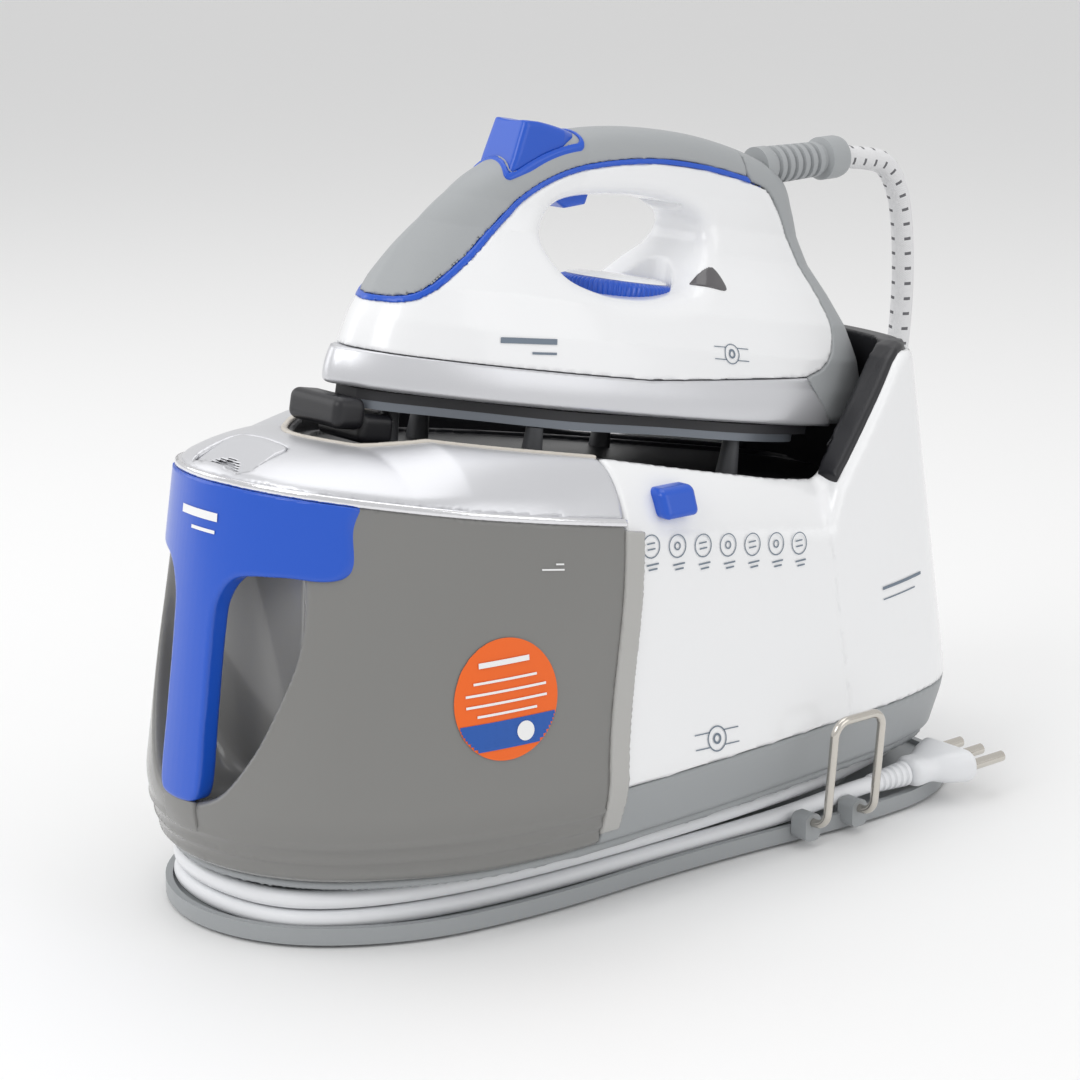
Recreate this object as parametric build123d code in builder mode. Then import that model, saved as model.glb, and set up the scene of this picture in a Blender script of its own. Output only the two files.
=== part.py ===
from build123d import *
import math
import os

# Steam generator iron: a steam iron resting on a pressurised boiler base.
# +Z is up, z = 0 is the surface the base stands on, x = 0 is the plane of
# symmetry, and -Y is the front, where the water tank pulls out.

# ---- driving dimensions of the base, mm ----
HALF_WIDTH = 100.0  # half of the widest outline, at the waist
FRONT_Y = -203.0  # foremost point of the outline at the waist
REAR_Y = 196.0  # rearmost point of the outline at the waist
WAIST_Z = 52.0  # height where the walls are widest
SKIRT_Z = 28.0  # lower edge of the tank and of the lower housing
SHELF_Z = 24.0  # underside of the shelf that the tank stands on
WALL_LEAN = 7.5  # degrees, the walls lean inwards above the waist
SKIRT_LEAN = 16.0  # and below it
SPLIT_Y = -46.0  # joint between the water tank and the housing
WALL = 2.5
TRAY_TOP_Z = 6.0
FOOT_H = 1.5
SLANT_Y, SLANT_TOP_Y, TOWER_Z = 92.0, 140.0, 203.0  # slanted cheeks of the heel tower
CORD_D = 7.5
HOSE_D = 10.5
GAP = 0.4  # clearance between parts that come apart

# ---- driving dimensions of the iron, mm ----
TILT = 10.2  # degrees, the rest and the iron slope down to the rear
NOSE_Y, NOSE_Z = -126.0, 214.0  # lowest point of the iron's nose
SOLE_DEPTH = 7.5  # the sole's face lies this far under the skirt's edge
RIM_DEPTH = 20.0  # the rest's rim lies this far under the skirt's edge
REST_DEPTH = 30.0  # and the rest's floor this far
SKIRT_H = 17.0  # height of the painted skirt
HANDLE_TOP = 120.0
SADDLE_W = 51.0  # height of the saddle under the handle
DIAL_U, DIAL_R = 148.0, 26.0

tilt_sin = math.sin(math.radians(TILT))
tilt_cos = math.cos(math.radians(TILT))
# Iron frame: local x across, local y (u) to the rear along the sole, local z (w) square to it.
iron_plane = Plane(origin=(0, NOSE_Y, NOSE_Z), x_dir=(1, 0, 0), z_dir=(0, tilt_sin, tilt_cos))
# Side views: local x runs to the rear, local y up, and the normal is +X.
iron_side = Plane(origin=(0, NOSE_Y, NOSE_Z), x_dir=(0, tilt_cos, -tilt_sin), z_dir=(1, 0, 0))
base_side = Plane(origin=(0, 0, 0), x_dir=(0, 1, 0), z_dir=(1, 0, 0))
UP = (Align.CENTER, Align.CENTER, Align.MIN)
os.makedirs("parts", exist_ok=True)


def save(part, label):
    """Labels one finished piece and writes it as its own STEP file."""
    part.label = label
    export_step(part, f"parts/{label}.step")


def iron_point(u, w, x=0.0):
    """World point of iron coordinates."""
    y = NOSE_Y + u * tilt_cos + w * tilt_sin
    return Vector(x, y, NOSE_Z - u * tilt_sin + w * tilt_cos)


def rim_z(y, depth=RIM_DEPTH):
    """Height at x = 0 of the sloping plane that lies depth under the iron's skirt edge."""
    return NOSE_Z - (y - NOSE_Y) * tilt_sin / tilt_cos - depth / tilt_cos


def arc_outline(plane, points, start):
    """Closed outline, symmetric about x = 0, of tangent arcs through the points of one half."""
    with BuildSketch(plane) as outline:
        with BuildLine():
            heading = Vector(*start)
            for first, last in zip(points, points[1:]):
                arc = TangentArc(first, last, tangent=heading)
                heading = arc % 1
            mirror(about=Plane.YZ)
        make_face()
    return outline.sketch


def base_outline(z, inset=0.0):
    """Plan of the base at its waist, moved inwards by inset, drawn at height z."""
    half = [(0, FRONT_Y), (60, -178), (93, -122), (HALF_WIDTH, -58)]
    half += [(97.5, 0), (87, 135), (55, 182), (0, REAR_Y)]
    middle = (FRONT_Y + REAR_Y) / 2
    kx, ky = 1 - inset / HALF_WIDTH, 1 - inset / (REAR_Y - middle)
    scaled = [(x * kx, middle + (y - middle) * ky) for x, y in half]
    return arc_outline(Plane.XY.offset(z), scaled, (1, 0))


def tray_outline(z, inset=0.0):
    """Plan of the bottom tray, moved inwards by inset, drawn at height z."""
    half = [(0, -197), (54, -172), (80, -116), (85, -50), (90, 60), (92, 122), (78, 166), (46, 187), (0, 192)]
    kx, ky = 1 - inset / 92, 1 - inset / 195
    return arc_outline(Plane.XY.offset(z), [(x * kx, y * ky) for x, y in half], (1, 0))


def core_outline(z, inset=0.0):
    """Plan of the cord groove's inner wall, moved inwards by inset, drawn at height z."""
    half = [(0, -175), (44, -154), (62, -110), (66, -56), (66, 0), (61, 100), (34, 148), (0, 161)]
    kx, ky = 1 - inset / 66, 1 - inset / 175
    return arc_outline(Plane.XY.offset(z), [(x * kx, y * ky) for x, y in half], (1, 0))


def walls(inset=0.0, top=210.0):
    """The leaning walls above the waist as a solid, moved inwards by inset."""
    with BuildPart() as form:
        extrude(base_outline(WAIST_Z, inset), amount=top - WAIST_Z, taper=WALL_LEAN)
    return form.part


def skirt_walls(inset=0.0):
    """The undercut walls below the waist as a solid, moved inwards by inset."""
    with BuildPart() as form:
        extrude(base_outline(WAIST_Z, inset), amount=SKIRT_Z - WAIST_Z, taper=SKIRT_LEAN)
    return form.part


def side_slab(points, half_width, plane=base_side):
    """A side-view polygon extruded to both sides of x = 0."""
    with BuildPart() as slab:
        with BuildSketch(plane):
            with BuildLine():
                Polyline(points, close=True)
            make_face()
        extrude(amount=half_width, both=True)
    return slab.part


def side_curve(points, closing, half_width, plane=iron_side):
    """A smooth side-view curve, closed by straight lines, extruded to both sides of x = 0."""
    with BuildPart() as slab:
        with BuildSketch(plane):
            with BuildLine():
                Spline(points)
                Polyline(points[-1], *closing, points[0])
            make_face()
        extrude(amount=half_width, both=True)
    return slab.part


# ================================================================ base
LUG_Z, LUG_YS = 12.0, (58.0, 87.0)
WIRE_R = 1.9
with BuildPart() as base_tray:
    extrude(tray_outline(FOOT_H), amount=TRAY_TOP_Z + 2.5 - FOOT_H)
    extrude(tray_outline(TRAY_TOP_Z, 3.0), amount=9, mode=Mode.SUBTRACT)
    extrude(core_outline(TRAY_TOP_Z), amount=SHELF_Z - TRAY_TOP_Z)
    extrude(core_outline(TRAY_TOP_Z, 3.0), amount=30, mode=Mode.SUBTRACT)
    with BuildSketch(Plane.YZ.offset(90)):
        with Locations(*[(y, LUG_Z - 2.5) for y in LUG_YS]):
            RectangleRounded(9, 12, 3)
    extrude(amount=9)
    with BuildSketch(Plane.YZ.offset(91)):
        with Locations(*[(y, LUG_Z) for y in LUG_YS]):
            Circle(WIRE_R + 0.05)
    extrude(amount=19, mode=Mode.SUBTRACT)
save(base_tray.part, "base_tray")

FEET = [(0, 0), (-52, -130), (52, -130), (-60, 130), (60, 130), (-68, 0), (68, 0)]
with BuildPart() as feet:
    with BuildSketch():
        with Locations(*FEET):
            Circle(8)
    extrude(amount=FOOT_H)
save(feet.part, "rubber_feet")

HOSE_EXIT = (-50.0, 201.0, 38.0)  # where the steam hose enters the base
HOSE_HEADING = (14.5, 10.5, 5.5)  # its direction there, into the base
GLAND_R = 8.5
gland_plane = Plane(origin=HOSE_EXIT, z_dir=HOSE_HEADING)
with BuildPart() as lower_housing:
    extrude(base_outline(SHELF_Z, 9.0), amount=SKIRT_Z - SHELF_Z + 1)
    add(skirt_walls() - skirt_walls(WALL))
    with Locations((0, SPLIT_Y - 100, SKIRT_Z)):
        Box(240, 200, 40, align=UP, mode=Mode.SUBTRACT)
    with Locations((0, SPLIT_Y + WALL / 2, SHELF_Z)):
        Box(170, WALL, WAIST_Z - SHELF_Z, align=UP)
    with Locations((0, SPLIT_Y + WALL / 2, 40)):
        Cylinder(9.1, 10, rotation=(90, 0, 0), mode=Mode.SUBTRACT)
    with BuildSketch(gland_plane):
        Circle(GLAND_R)
    extrude(amount=40, mode=Mode.SUBTRACT)
save(lower_housing.part, "lower_housing")


def top_profile(drop):
    """Side view of the housing, its top lowered and its front moved back by drop."""
    front = SPLIT_Y + drop
    return [
        (front, WAIST_Z - drop),
        (front, rim_z(front) - 1.2 * drop),
        (SLANT_Y + drop / 2, rim_z(SLANT_Y) - 1.2 * drop),
        (SLANT_TOP_Y + drop / 2, TOWER_Z - drop),
        (REAR_Y, TOWER_Z - 5 - drop),
        (REAR_Y, WAIST_Z - drop),
    ]


def rest_outline(depth, inset):
    """Plan of the rest on the plane that lies depth under the skirt's edge."""
    half = [(0, -12), (24, 0), (52, 44), (67, 110), (68, 160), (60, 232), (48, 300), (34, 312), (0, 316)]
    scaled = [(x * (1 - inset / 68), 152 + (u - 152) * (1 - inset / 164)) for x, u in half]
    return arc_outline(iron_plane.offset(-depth), scaled, (1, 0.1))


CRADLE_WALL = 3.0
rest_well = extrude(rest_outline(60, 0.0), amount=150) & walls(2 * WALL)
rest_inner = extrude(rest_outline(REST_DEPTH, 4.0), amount=150) & walls(2 * WALL + CRADLE_WALL)
tower_top = side_slab([(0, 0), (0, TOWER_Z + 2), (220, TOWER_Z - 4), (220, 0)], 120)

# Button panel on the left flank, square to the leaning wall.
BUTTON_Y, BUTTON_Z, BUTTON_R, BUTTON_PITCH = 10.0, 112.0, 7.0, 24.0
PANEL_L, PANEL_H = 84.0, 26.0
flank = Plane(
    origin=(-91.5, BUTTON_Y, BUTTON_Z),
    x_dir=(0, -1, 0),
    z_dir=(-math.cos(math.radians(WALL_LEAN)), 0, math.sin(math.radians(WALL_LEAN))),
)

with BuildPart() as housing_shell:
    add(walls())
    add(side_slab(top_profile(0.0), HALF_WIDTH + 5), mode=Mode.INTERSECT)
    add(walls(WALL) & side_slab(top_profile(WALL), HALF_WIDTH), mode=Mode.SUBTRACT)
    add(rest_well, mode=Mode.SUBTRACT)
    with BuildSketch(flank.offset(-12)):
        RectangleRounded(PANEL_L, PANEL_H, 8)
    extrude(amount=24, mode=Mode.SUBTRACT)
save(housing_shell.part, "housing_shell")

# The black rest: a dished floor with a rim, and a cradle that takes the iron's heel.
CRADLE_U = 229.0
PEGS = [(0, 34), (-38, 80), (38, 80), (-42, 190), (42, 190)]
with BuildPart() as rest_tray:
    extrude(rest_outline(REST_DEPTH + WALL, 0.3), amount=REST_DEPTH + WALL - RIM_DEPTH)
    add(rest_inner, mode=Mode.SUBTRACT)
    add(side_slab([(-30, -60), (CRADLE_U, -60), (CRADLE_U, 0), (-30, 0)], 90, iron_side), mode=Mode.INTERSECT)
    with BuildSketch(iron_plane.offset(-REST_DEPTH)):
        with Locations(*PEGS):
            Circle(2.6)
    extrude(amount=-WALL, mode=Mode.SUBTRACT)
save(rest_tray.part, "rest_tray")

cradle_block = extrude(rest_outline(REST_DEPTH + WALL, 0.3), amount=120) & walls(2 * WALL + 0.3)
with BuildPart() as heel_cradle:
    add(cradle_block)
    add(rest_inner, mode=Mode.SUBTRACT)
    heel_zone = [(CRADLE_U, -60), (340, -60), (340, 100), (CRADLE_U, -17)]
    add(side_slab(heel_zone, 90, iron_side), mode=Mode.INTERSECT)
    add(tower_top, mode=Mode.INTERSECT)
save(heel_cradle.part, "heel_cradle")

with BuildPart() as rest_pegs:
    with BuildSketch(iron_plane.offset(-REST_DEPTH - WALL)):
        with Locations(*PEGS):
            Circle(2.55)
    extrude(amount=WALL)
    with BuildSketch(iron_plane.offset(-REST_DEPTH)):
        with Locations(*PEGS):
            Circle(5.5)
    extrude(amount=REST_DEPTH - SOLE_DEPTH - GAP, taper=5)
save(rest_pegs.part, "rest_pegs")

# Nose lock: a sliding block in front of the sole's nose, worked by a slider on the flank.
LOCK_TRAVEL = 5.0
LOCK_FRONT_U, LOCK_LENGTH, LOCK_HALF = -1.5, 20.0, 18.0
with BuildPart() as nose_lock:
    with BuildSketch(iron_plane.offset(GAP - RIM_DEPTH)):
        with Locations((0, LOCK_FRONT_U + LOCK_LENGTH / 2)):
            RectangleRounded(2 * LOCK_HALF, LOCK_LENGTH, 4)
    extrude(amount=16)
    with BuildSketch(iron_plane.offset(-SOLE_DEPTH - 2.0)):
        with Locations((0, LOCK_FRONT_U + 10 + LOCK_LENGTH / 2)):
            Rectangle(2 * LOCK_HALF - 5, LOCK_LENGTH)
    extrude(amount=20, mode=Mode.SUBTRACT)
save(nose_lock.part, "nose_lock")

SLIDER_Y, SLIDER_Z, SLIDER_X = -12.0, 158.0, 87.5
with BuildPart() as lock_slider:
    with BuildSketch(Plane.YZ.offset(SLIDER_X)):
        with Locations((SLIDER_Y, SLIDER_Z)):
            RectangleRounded(20, 14, 5)
    extrude(amount=8)
save(lock_slider.part, "lock_slider")

# Wire bail that keeps the wound cord in its groove: a bent wire whose two ends plug into the lugs.
BAIL_X, BAIL_TOP_Z, BAIL_BEND = 107.0, 60.0, 7.0
bail_route = [(92, LUG_YS[0], LUG_Z), (BAIL_X, LUG_YS[0], LUG_Z), (BAIL_X + 4, LUG_YS[0], BAIL_TOP_Z)]
bail_route += [(x, LUG_YS[1], z) for x, y, z in reversed(bail_route)]
with BuildPart() as cord_bail:
    with BuildLine() as bail_line:
        FilletPolyline(*bail_route, radius=BAIL_BEND)
    with BuildSketch(Plane(origin=bail_route[0], z_dir=(1, 0, 0))):
        Circle(WIRE_R)
    sweep()
save(cord_bail.part, "cord_bail")

# ================================================================ water tank
LID_DEPTH = 40.0  # the lid's lower edge lies this far under the iron's skirt edge
TANK_FLOOR_Z = SKIRT_Z + 0.3
RECESS_Y = -168.0  # back of the finger recess behind the handle
BAR_HALF, BAR_DEPTH, BAR_Z = 13.0, 9.0, 57.0
CROSSBAR_HALF, CROSSBAR_Z = 58.0, 150.0
TANK_REAR = SPLIT_Y - GAP
tank_zone = side_slab([(-220, TANK_FLOOR_Z), (-220, 215), (TANK_REAR, 215), (TANK_REAR, TANK_FLOOR_Z)], 120)


def below(depth):
    """Everything under the sloping plane that lies depth under the iron's skirt edge."""
    return side_slab([(-120, -depth), (400, -depth), (400, -250), (-120, -250)], 120, iron_side)


def recess(margin):
    """Finger recess behind the tank's handle: a U in front view, grown by margin."""
    half = [(0, BAR_Z - 2 - margin), (34 + margin, 80), (48 + margin, 120), (50 + margin, 190)]
    with BuildPart() as cut:
        with BuildSketch(Plane.XZ.offset(-RECESS_Y - margin)):
            with BuildLine():
                first = TangentArc(half[0], half[1], tangent=(1, 0))
                second = TangentArc(half[1], half[2], tangent=first % 1)
                Line(half[2], half[3])
                Line(half[3], (0, half[3][1]))
                mirror(about=Plane.YZ)
            make_face()
        extrude(amount=60)
    return cut.part


tank_hollow = (walls(WALL) + skirt_walls(WALL)) & tank_zone.moved(Location((0, -WALL, WALL)))
with BuildPart() as tank_shell:
    add(walls())
    add(skirt_walls())
    add(tank_zone, mode=Mode.INTERSECT)
    add(recess(0.0), mode=Mode.SUBTRACT)
    add(tank_hollow - recess(WALL), mode=Mode.SUBTRACT)
    add(below(LID_DEPTH + 0.1), mode=Mode.INTERSECT)
    with Locations((0, SPLIT_Y - WALL, 40)):
        Cylinder(6.0, 12, rotation=(90, 0, 0), mode=Mode.SUBTRACT)
save(tank_shell.part, "tank_shell")

LID_RIM = 20.3  # the lid's inner edge lies this far under the skirt's edge
lid_side = [(-56, -LID_DEPTH), (-53, -LID_DEPTH + 1), (-6, -LID_RIM), (130, -LID_RIM), (130, -LID_DEPTH)]
lid_hollow = [(-51, -LID_DEPTH - 1), (-6, -LID_RIM - 2), (130, -LID_RIM - 2), (130, -LID_DEPTH - 1)]
FLAP_START, FLAP_LENGTH, FLAP_HALF = 5.0, 24.0, 18.0
slope = math.atan2(LID_DEPTH - LID_RIM, 47)  # of the lid's front deck, in the iron frame
flap_tilt = math.radians(TILT) - slope
flap_plane = Plane(
    origin=iron_point(-53, -LID_DEPTH),
    x_dir=(1, 0, 0),
    z_dir=(0, math.sin(flap_tilt), math.cos(flap_tilt)),
)
lid_ledge = side_slab([(-80, -LID_DEPTH), (-80, -37.5), (130, -37.5), (130, -LID_DEPTH)], 120, iron_side)
with BuildPart() as tank_lid:
    add(walls())
    add(side_slab(lid_side, 120, iron_side), mode=Mode.INTERSECT)
    add(tank_zone, mode=Mode.INTERSECT)
    add(walls(2.0) & side_slab(lid_hollow, 120, iron_side), mode=Mode.SUBTRACT)
    add(rest_well, mode=Mode.SUBTRACT)
    add(walls() & tank_zone & lid_ledge)
    with BuildSketch(flap_plane.offset(-9)):
        with Locations((0, FLAP_START + FLAP_LENGTH / 2)):
            Rectangle(2 * FLAP_HALF, FLAP_LENGTH)
    extrude(amount=30, mode=Mode.SUBTRACT)
save(tank_lid.part, "tank_lid")

with BuildPart() as fill_flap:
    with BuildSketch(flap_plane.offset(-2.0)):
        with Locations((0, FLAP_START + FLAP_LENGTH / 2)):
            RectangleRounded(2 * FLAP_HALF - 2 * GAP, FLAP_LENGTH - 2 * GAP, 3)
    extrude(amount=2.0)
save(fill_flap.part, "fill_flap")

recess_land = walls() & tank_zone - recess(0.0)
bar_slab = side_slab([(-220, BAR_Z), (-220, 165), (-100, 165), (-100, BAR_Z)], BAR_HALF)
with BuildPart() as tank_handle:
    add(walls(-1.5) - walls(0.0))
    with BuildSketch(Plane.XZ):
        with Locations((0, 200)):
            Rectangle(2 * CROSSBAR_HALF, 2 * (200 - CROSSBAR_Z))
    extrude(amount=240, mode=Mode.INTERSECT)
    add(below(LID_DEPTH + 0.2), mode=Mode.INTERSECT)
    add((walls(-1.5) - walls(BAR_DEPTH - 1.5)) & bar_slab)
    add(recess_land, mode=Mode.SUBTRACT)
save(tank_handle.part, "tank_handle")

VALVE_Z = 40.0
with BuildPart() as tank_valve:
    with Locations((0, SPLIT_Y - GAP - WALL, VALVE_Z)):
        Cylinder(5.95, 17, rotation=(-90, 0, 0), align=UP)
        Cylinder(9, 4, rotation=(90, 0, 0), align=UP)
    with Locations((0, SPLIT_Y - GAP - WALL - 4, VALVE_Z)):
        Cylinder(2.5, 21, rotation=(-90, 0, 0), align=UP, mode=Mode.SUBTRACT)
save(tank_valve.part, "tank_valve")

# ================================================================ inside the housing
with BuildPart() as tank_coupling:
    with Locations((0, SPLIT_Y + WALL, VALVE_Z)):
        Cylinder(11, 16, rotation=(-90, 0, 0), align=UP)
    with Locations((0, SPLIT_Y, VALVE_Z)):
        Cylinder(6.4, 15.5, rotation=(-90, 0, 0), align=UP, mode=Mode.SUBTRACT)
    with Locations((0, SPLIT_Y + WALL + 16, VALVE_Z)):
        Cylinder(3.5, 8, rotation=(-90, 0, 0), align=UP)
save(tank_coupling.part, "tank_coupling")

FLOOR_Z = SKIRT_Z + 1.0
BOILER_Y, BOILER_Z, BOILER_R, BOILER_HALF = 104.0, 82.0, 42.0, 58.0
with BuildPart() as boiler:
    with Locations((0, BOILER_Y, BOILER_Z)):
        Cylinder(BOILER_R, 2 * BOILER_HALF, rotation=(0, 90, 0))
    fillet(boiler.edges().filter_by(GeomType.CIRCLE), 14)
    with Locations((0, BOILER_Y, BOILER_Z)):
        Cylinder(BOILER_R - 1.5, 2 * BOILER_HALF - 30, rotation=(0, 90, 0), mode=Mode.SUBTRACT)
save(boiler.part, "boiler")

with BuildPart() as boiler_brackets:
    with Locations((-36, BOILER_Y, FLOOR_Z), (36, BOILER_Y, FLOOR_Z)):
        Box(14, 64, 26, align=UP)
    with Locations((0, BOILER_Y, BOILER_Z)):
        Cylinder(BOILER_R, 140, rotation=(0, 90, 0), mode=Mode.SUBTRACT)
save(boiler_brackets.part, "boiler_brackets")

with BuildPart() as boiler_heater:
    with Locations((-BOILER_HALF, BOILER_Y, BOILER_Z)):
        Cylinder(18, 5, rotation=(0, -90, 0), align=UP)
    with Locations((-BOILER_HALF - 5, BOILER_Y - 8, BOILER_Z), (-BOILER_HALF - 5, BOILER_Y + 8, BOILER_Z)):
        Cylinder(2, 8, rotation=(0, -90, 0), align=UP)
save(boiler_heater.part, "boiler_heater")

with BuildPart() as boiler_thermostat:
    with Locations((BOILER_HALF, BOILER_Y - 10, BOILER_Z + 6)):
        Cylinder(8, 9, rotation=(0, 90, 0), align=UP)
save(boiler_thermostat.part, "boiler_thermostat")

with BuildPart() as safety_valve:
    with Locations((BOILER_HALF, BOILER_Y + 14, BOILER_Z - 6)):
        Cylinder(6, 14, rotation=(0, 90, 0), align=UP)
save(safety_valve.part, "safety_valve")

with BuildPart() as solenoid_valve:
    with Locations((34, 42, FLOOR_Z)):
        Box(26, 30, 34, align=UP)
    with Locations((34, 42, FLOOR_Z + 34)):
        Cylinder(6, 14, align=UP)
save(solenoid_valve.part, "solenoid_valve")

with BuildPart() as pump:
    with Locations((-4, 26, FLOOR_Z)):
        Box(34, 44, 38, align=UP)
    with Locations((-4, 48, FLOOR_Z + 20)):
        Cylinder(4, 8, rotation=(-90, 0, 0), align=UP)
    fillet(pump.edges().filter_by(Axis.Z), 4)
save(pump.part, "pump")

BOARD_X = -60.0
with BuildPart() as circuit_board:
    with Locations((BOARD_X, 10, FLOOR_Z)):
        Box(1.6, 80, 56, align=UP)
    with Locations((BOARD_X + 0.8, -10, FLOOR_Z + 14), (BOARD_X + 0.8, 28, FLOOR_Z + 30)):
        Box(14, 20, 16, align=(Align.MIN, Align.CENTER, Align.MIN))
save(circuit_board.part, "circuit_board")

with BuildPart() as steam_pipe:
    with BuildLine() as steam_pipe_line:
        FilletPolyline((34, 42, FLOOR_Z + 48), (34, 42, 106), (62, 60, 106), (62, 160, 106), radius=8)
    with BuildSketch(Plane(origin=(34, 42, FLOOR_Z + 48), z_dir=(0, 0, 1))):
        Circle(3)
    sweep()
save(steam_pipe.part, "steam_pipe")

# ================================================================ iron
BODY_LEAN = 17.0  # degrees, the iron's body narrows upwards
OPENING_TOP = 91.0
HEEL_U = 294.0
TRIM_H = 2.6
BODY_WALL = 3.0


def iron_outline(w, inset=0.0):
    """Plan of the iron at height w, moved inwards by inset from the skirt's lower edge."""
    half = [(0, 0), (22, 20), (43, 68), (52, 118), (54, 165), (50, 225), (40, 268), (22, 292), (0, HEEL_U)]
    kx, ku = 1 - inset / 54, 1 - inset / (HEEL_U / 2)
    scaled = [(x * kx, HEEL_U / 2 + (u - HEEL_U / 2) * ku) for x, u in half]
    return arc_outline(iron_plane.offset(w), scaled, (1, 0.35))


def iron_slab(points, half_width=80.0):
    """A polygon in the iron's side view, extruded to both sides of x = 0."""
    return side_slab(points, half_width, iron_side)


top_line = [(5, 10), (7, 17), (10, 28), (14, 38), (24, 57), (36, 73), (50, 85), (68, 96), (84, 106)]
top_line += [(105, 115)]
top_line += [(125, 119), (150, 120.5), (180, 120), (210, 115.5), (236, 106), (250, 94), (264, 76), (282, 50)]
top_line += [(290, 34), (293, 22), (290, 13)]
trim_line = [(-10, 37), (9, 37), (15, 37.2), (23, 39), (32, 44), (47, 57), (63, 71), (80, 86), (96, 95)]
trim_line += [(118, 102)]
trim_line += [(146, 107), (170, 107.5), (202, 106)]
rear_line = [(202, 106), (223, 98), (235, 82), (249, 57), (251, 44), (248, 35), (238, 27), (227, 21)]
skirt_rear = [(227, 21), (245, 3), (245, -2)]

with BuildPart() as opening:
    with BuildSketch(iron_side):
        with BuildLine():
            Polyline(
                (88, 62), (91, 78), (108, 89), (130, OPENING_TOP), (162, OPENING_TOP), (178, 87), (182, 76),
                (180, 62), (178, SADDLE_W), (102, SADDLE_W), close=True
            )
        make_face()
        fillet(vertices(), 4)
    extrude(amount=80, both=True)

with BuildPart() as iron_body:
    extrude(iron_outline(SKIRT_H, 3.6), amount=HANDLE_TOP - SKIRT_H + 4, taper=BODY_LEAN)
    add(side_curve(top_line, [(240, 3), (10, 3)], 80), mode=Mode.INTERSECT)
    add(opening.part, mode=Mode.SUBTRACT)
    hollow_h = SADDLE_W - BODY_WALL - SKIRT_H
    extrude(iron_outline(SKIRT_H, 3.6 + BODY_WALL), amount=hollow_h, taper=BODY_LEAN, mode=Mode.SUBTRACT)
    # wiring duct through the handle
    add(iron_slab([(108, 98), (214, 98), (214, 109), (108, 109)], 8), mode=Mode.SUBTRACT)
    # well of the steam button and slot of the steam trigger
    add(iron_slab([(72.6, 88), (104.4, 88), (104.4, 130), (72.6, 130)], 11.4), mode=Mode.SUBTRACT)
    add(iron_slab([(104, 80), (158, 80), (158, 97), (104, 97)], 7.5), mode=Mode.SUBTRACT)
    with BuildSketch(iron_plane.offset(SADDLE_W - 8)):
        with Locations((0, DIAL_U)):
            Circle(4.4)
    extrude(amount=12, mode=Mode.SUBTRACT)

above_trim = iron_slab([*trim_line, (202, 140), (-10, 140)])
above_lower_trim = iron_slab([*[(u, w - TRIM_H) for u, w in trim_line], (202, 140), (-10, 140)])
behind_rear_line = iron_slab([(202, 140), *rear_line, *skirt_rear[1:], (330, -2), (330, 140)])
lens_block = iron_slab([(178, 54.5), (181, 60), (187, 63.5), (194, 63.5), (200, 59), (202, 54.5)])

for label, region in (
    ("handle_cover", above_trim),
    ("blue_trim", above_lower_trim - above_trim),
    ("rear_cover", behind_rear_line),
):
    with BuildPart() as slice_of_body:
        add(iron_body.part & region)
    save(slice_of_body.part, label)

with BuildPart() as signal_lens:
    add(iron_body.part & lens_block)
    with Locations(iron_plane.location * Location((-50, 190, 60))):
        Box(150, 40, 40, mode=Mode.SUBTRACT)
save(signal_lens.part, "signal_lens")

with BuildPart() as iron_shell:
    add(iron_body.part - above_lower_trim - behind_rear_line - signal_lens.part)
save(iron_shell.part, "iron_shell")

with BuildPart() as skirt:
    extrude(iron_outline(0), amount=SKIRT_H, taper=8)
    extrude(iron_outline(0, 2.5), amount=SKIRT_H, taper=8, mode=Mode.SUBTRACT)
    add(iron_slab([(-20, -5), (245, -5), (245, 3), (227, 21), (227, 30), (-20, 30)]), mode=Mode.INTERSECT)
save(skirt.part, "skirt")

SOLE_T, SOLE_REAR_U = 3.5, 238.0
SOLE_FRONT_U = 10.0
sole_zone = iron_slab([(SOLE_FRONT_U, -30), (SOLE_REAR_U, -30), (SOLE_REAR_U, 30), (SOLE_FRONT_U, 30)])
with BuildPart() as soleplate:
    extrude(iron_outline(-SOLE_DEPTH, 7), amount=SOLE_T)
    add(sole_zone, mode=Mode.INTERSECT)
    edges = soleplate.edges().filter_by(lambda e: e.length < 5)
    along = [(e, (e.center() - iron_plane.origin).dot(iron_plane.y_dir)) for e in edges]
    fillet([e for e, u in along if abs(u - SOLE_REAR_U) < 1], 22)
    vents = [(x, u) for u in (40, 60, 80, 100, 200, 215) for x in (-14 - u / 12, 0, 14 + u / 12)]
    with BuildSketch(iron_plane.offset(-SOLE_DEPTH)):
        with Locations(*vents):
            Circle(1.4)
    extrude(amount=SOLE_T, mode=Mode.SUBTRACT)
save(soleplate.part, "soleplate")

with BuildPart() as heat_shield:
    extrude(iron_outline(SOLE_T - SOLE_DEPTH, 6.5), amount=SOLE_DEPTH - SOLE_T)
    extrude(iron_outline(SOLE_T - SOLE_DEPTH, 12.5), amount=SOLE_DEPTH - SOLE_T, mode=Mode.SUBTRACT)
    add(sole_zone, mode=Mode.INTERSECT)
save(heat_shield.part, "heat_shield")

chamber_zone = iron_slab([(-20, -30), (222, -30), (222, 30), (-20, 30)])
heater_route = [(-18, 206, 3), (-24, 120, 3), (-8, 62, 3), (8, 62, 3), (24, 120, 3), (18, 206, 3)]
with BuildPart() as iron_heater:
    with BuildLine():
        FilletPolyline(*[iron_plane.from_local_coords(p) for p in heater_route], radius=7)
    first, second = (iron_plane.from_local_coords(p) for p in heater_route[:2])
    with BuildSketch(Plane(origin=first, z_dir=second - first)):
        Circle(3.5)
    sweep()
save(iron_heater.part, "iron_heater")

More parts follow.
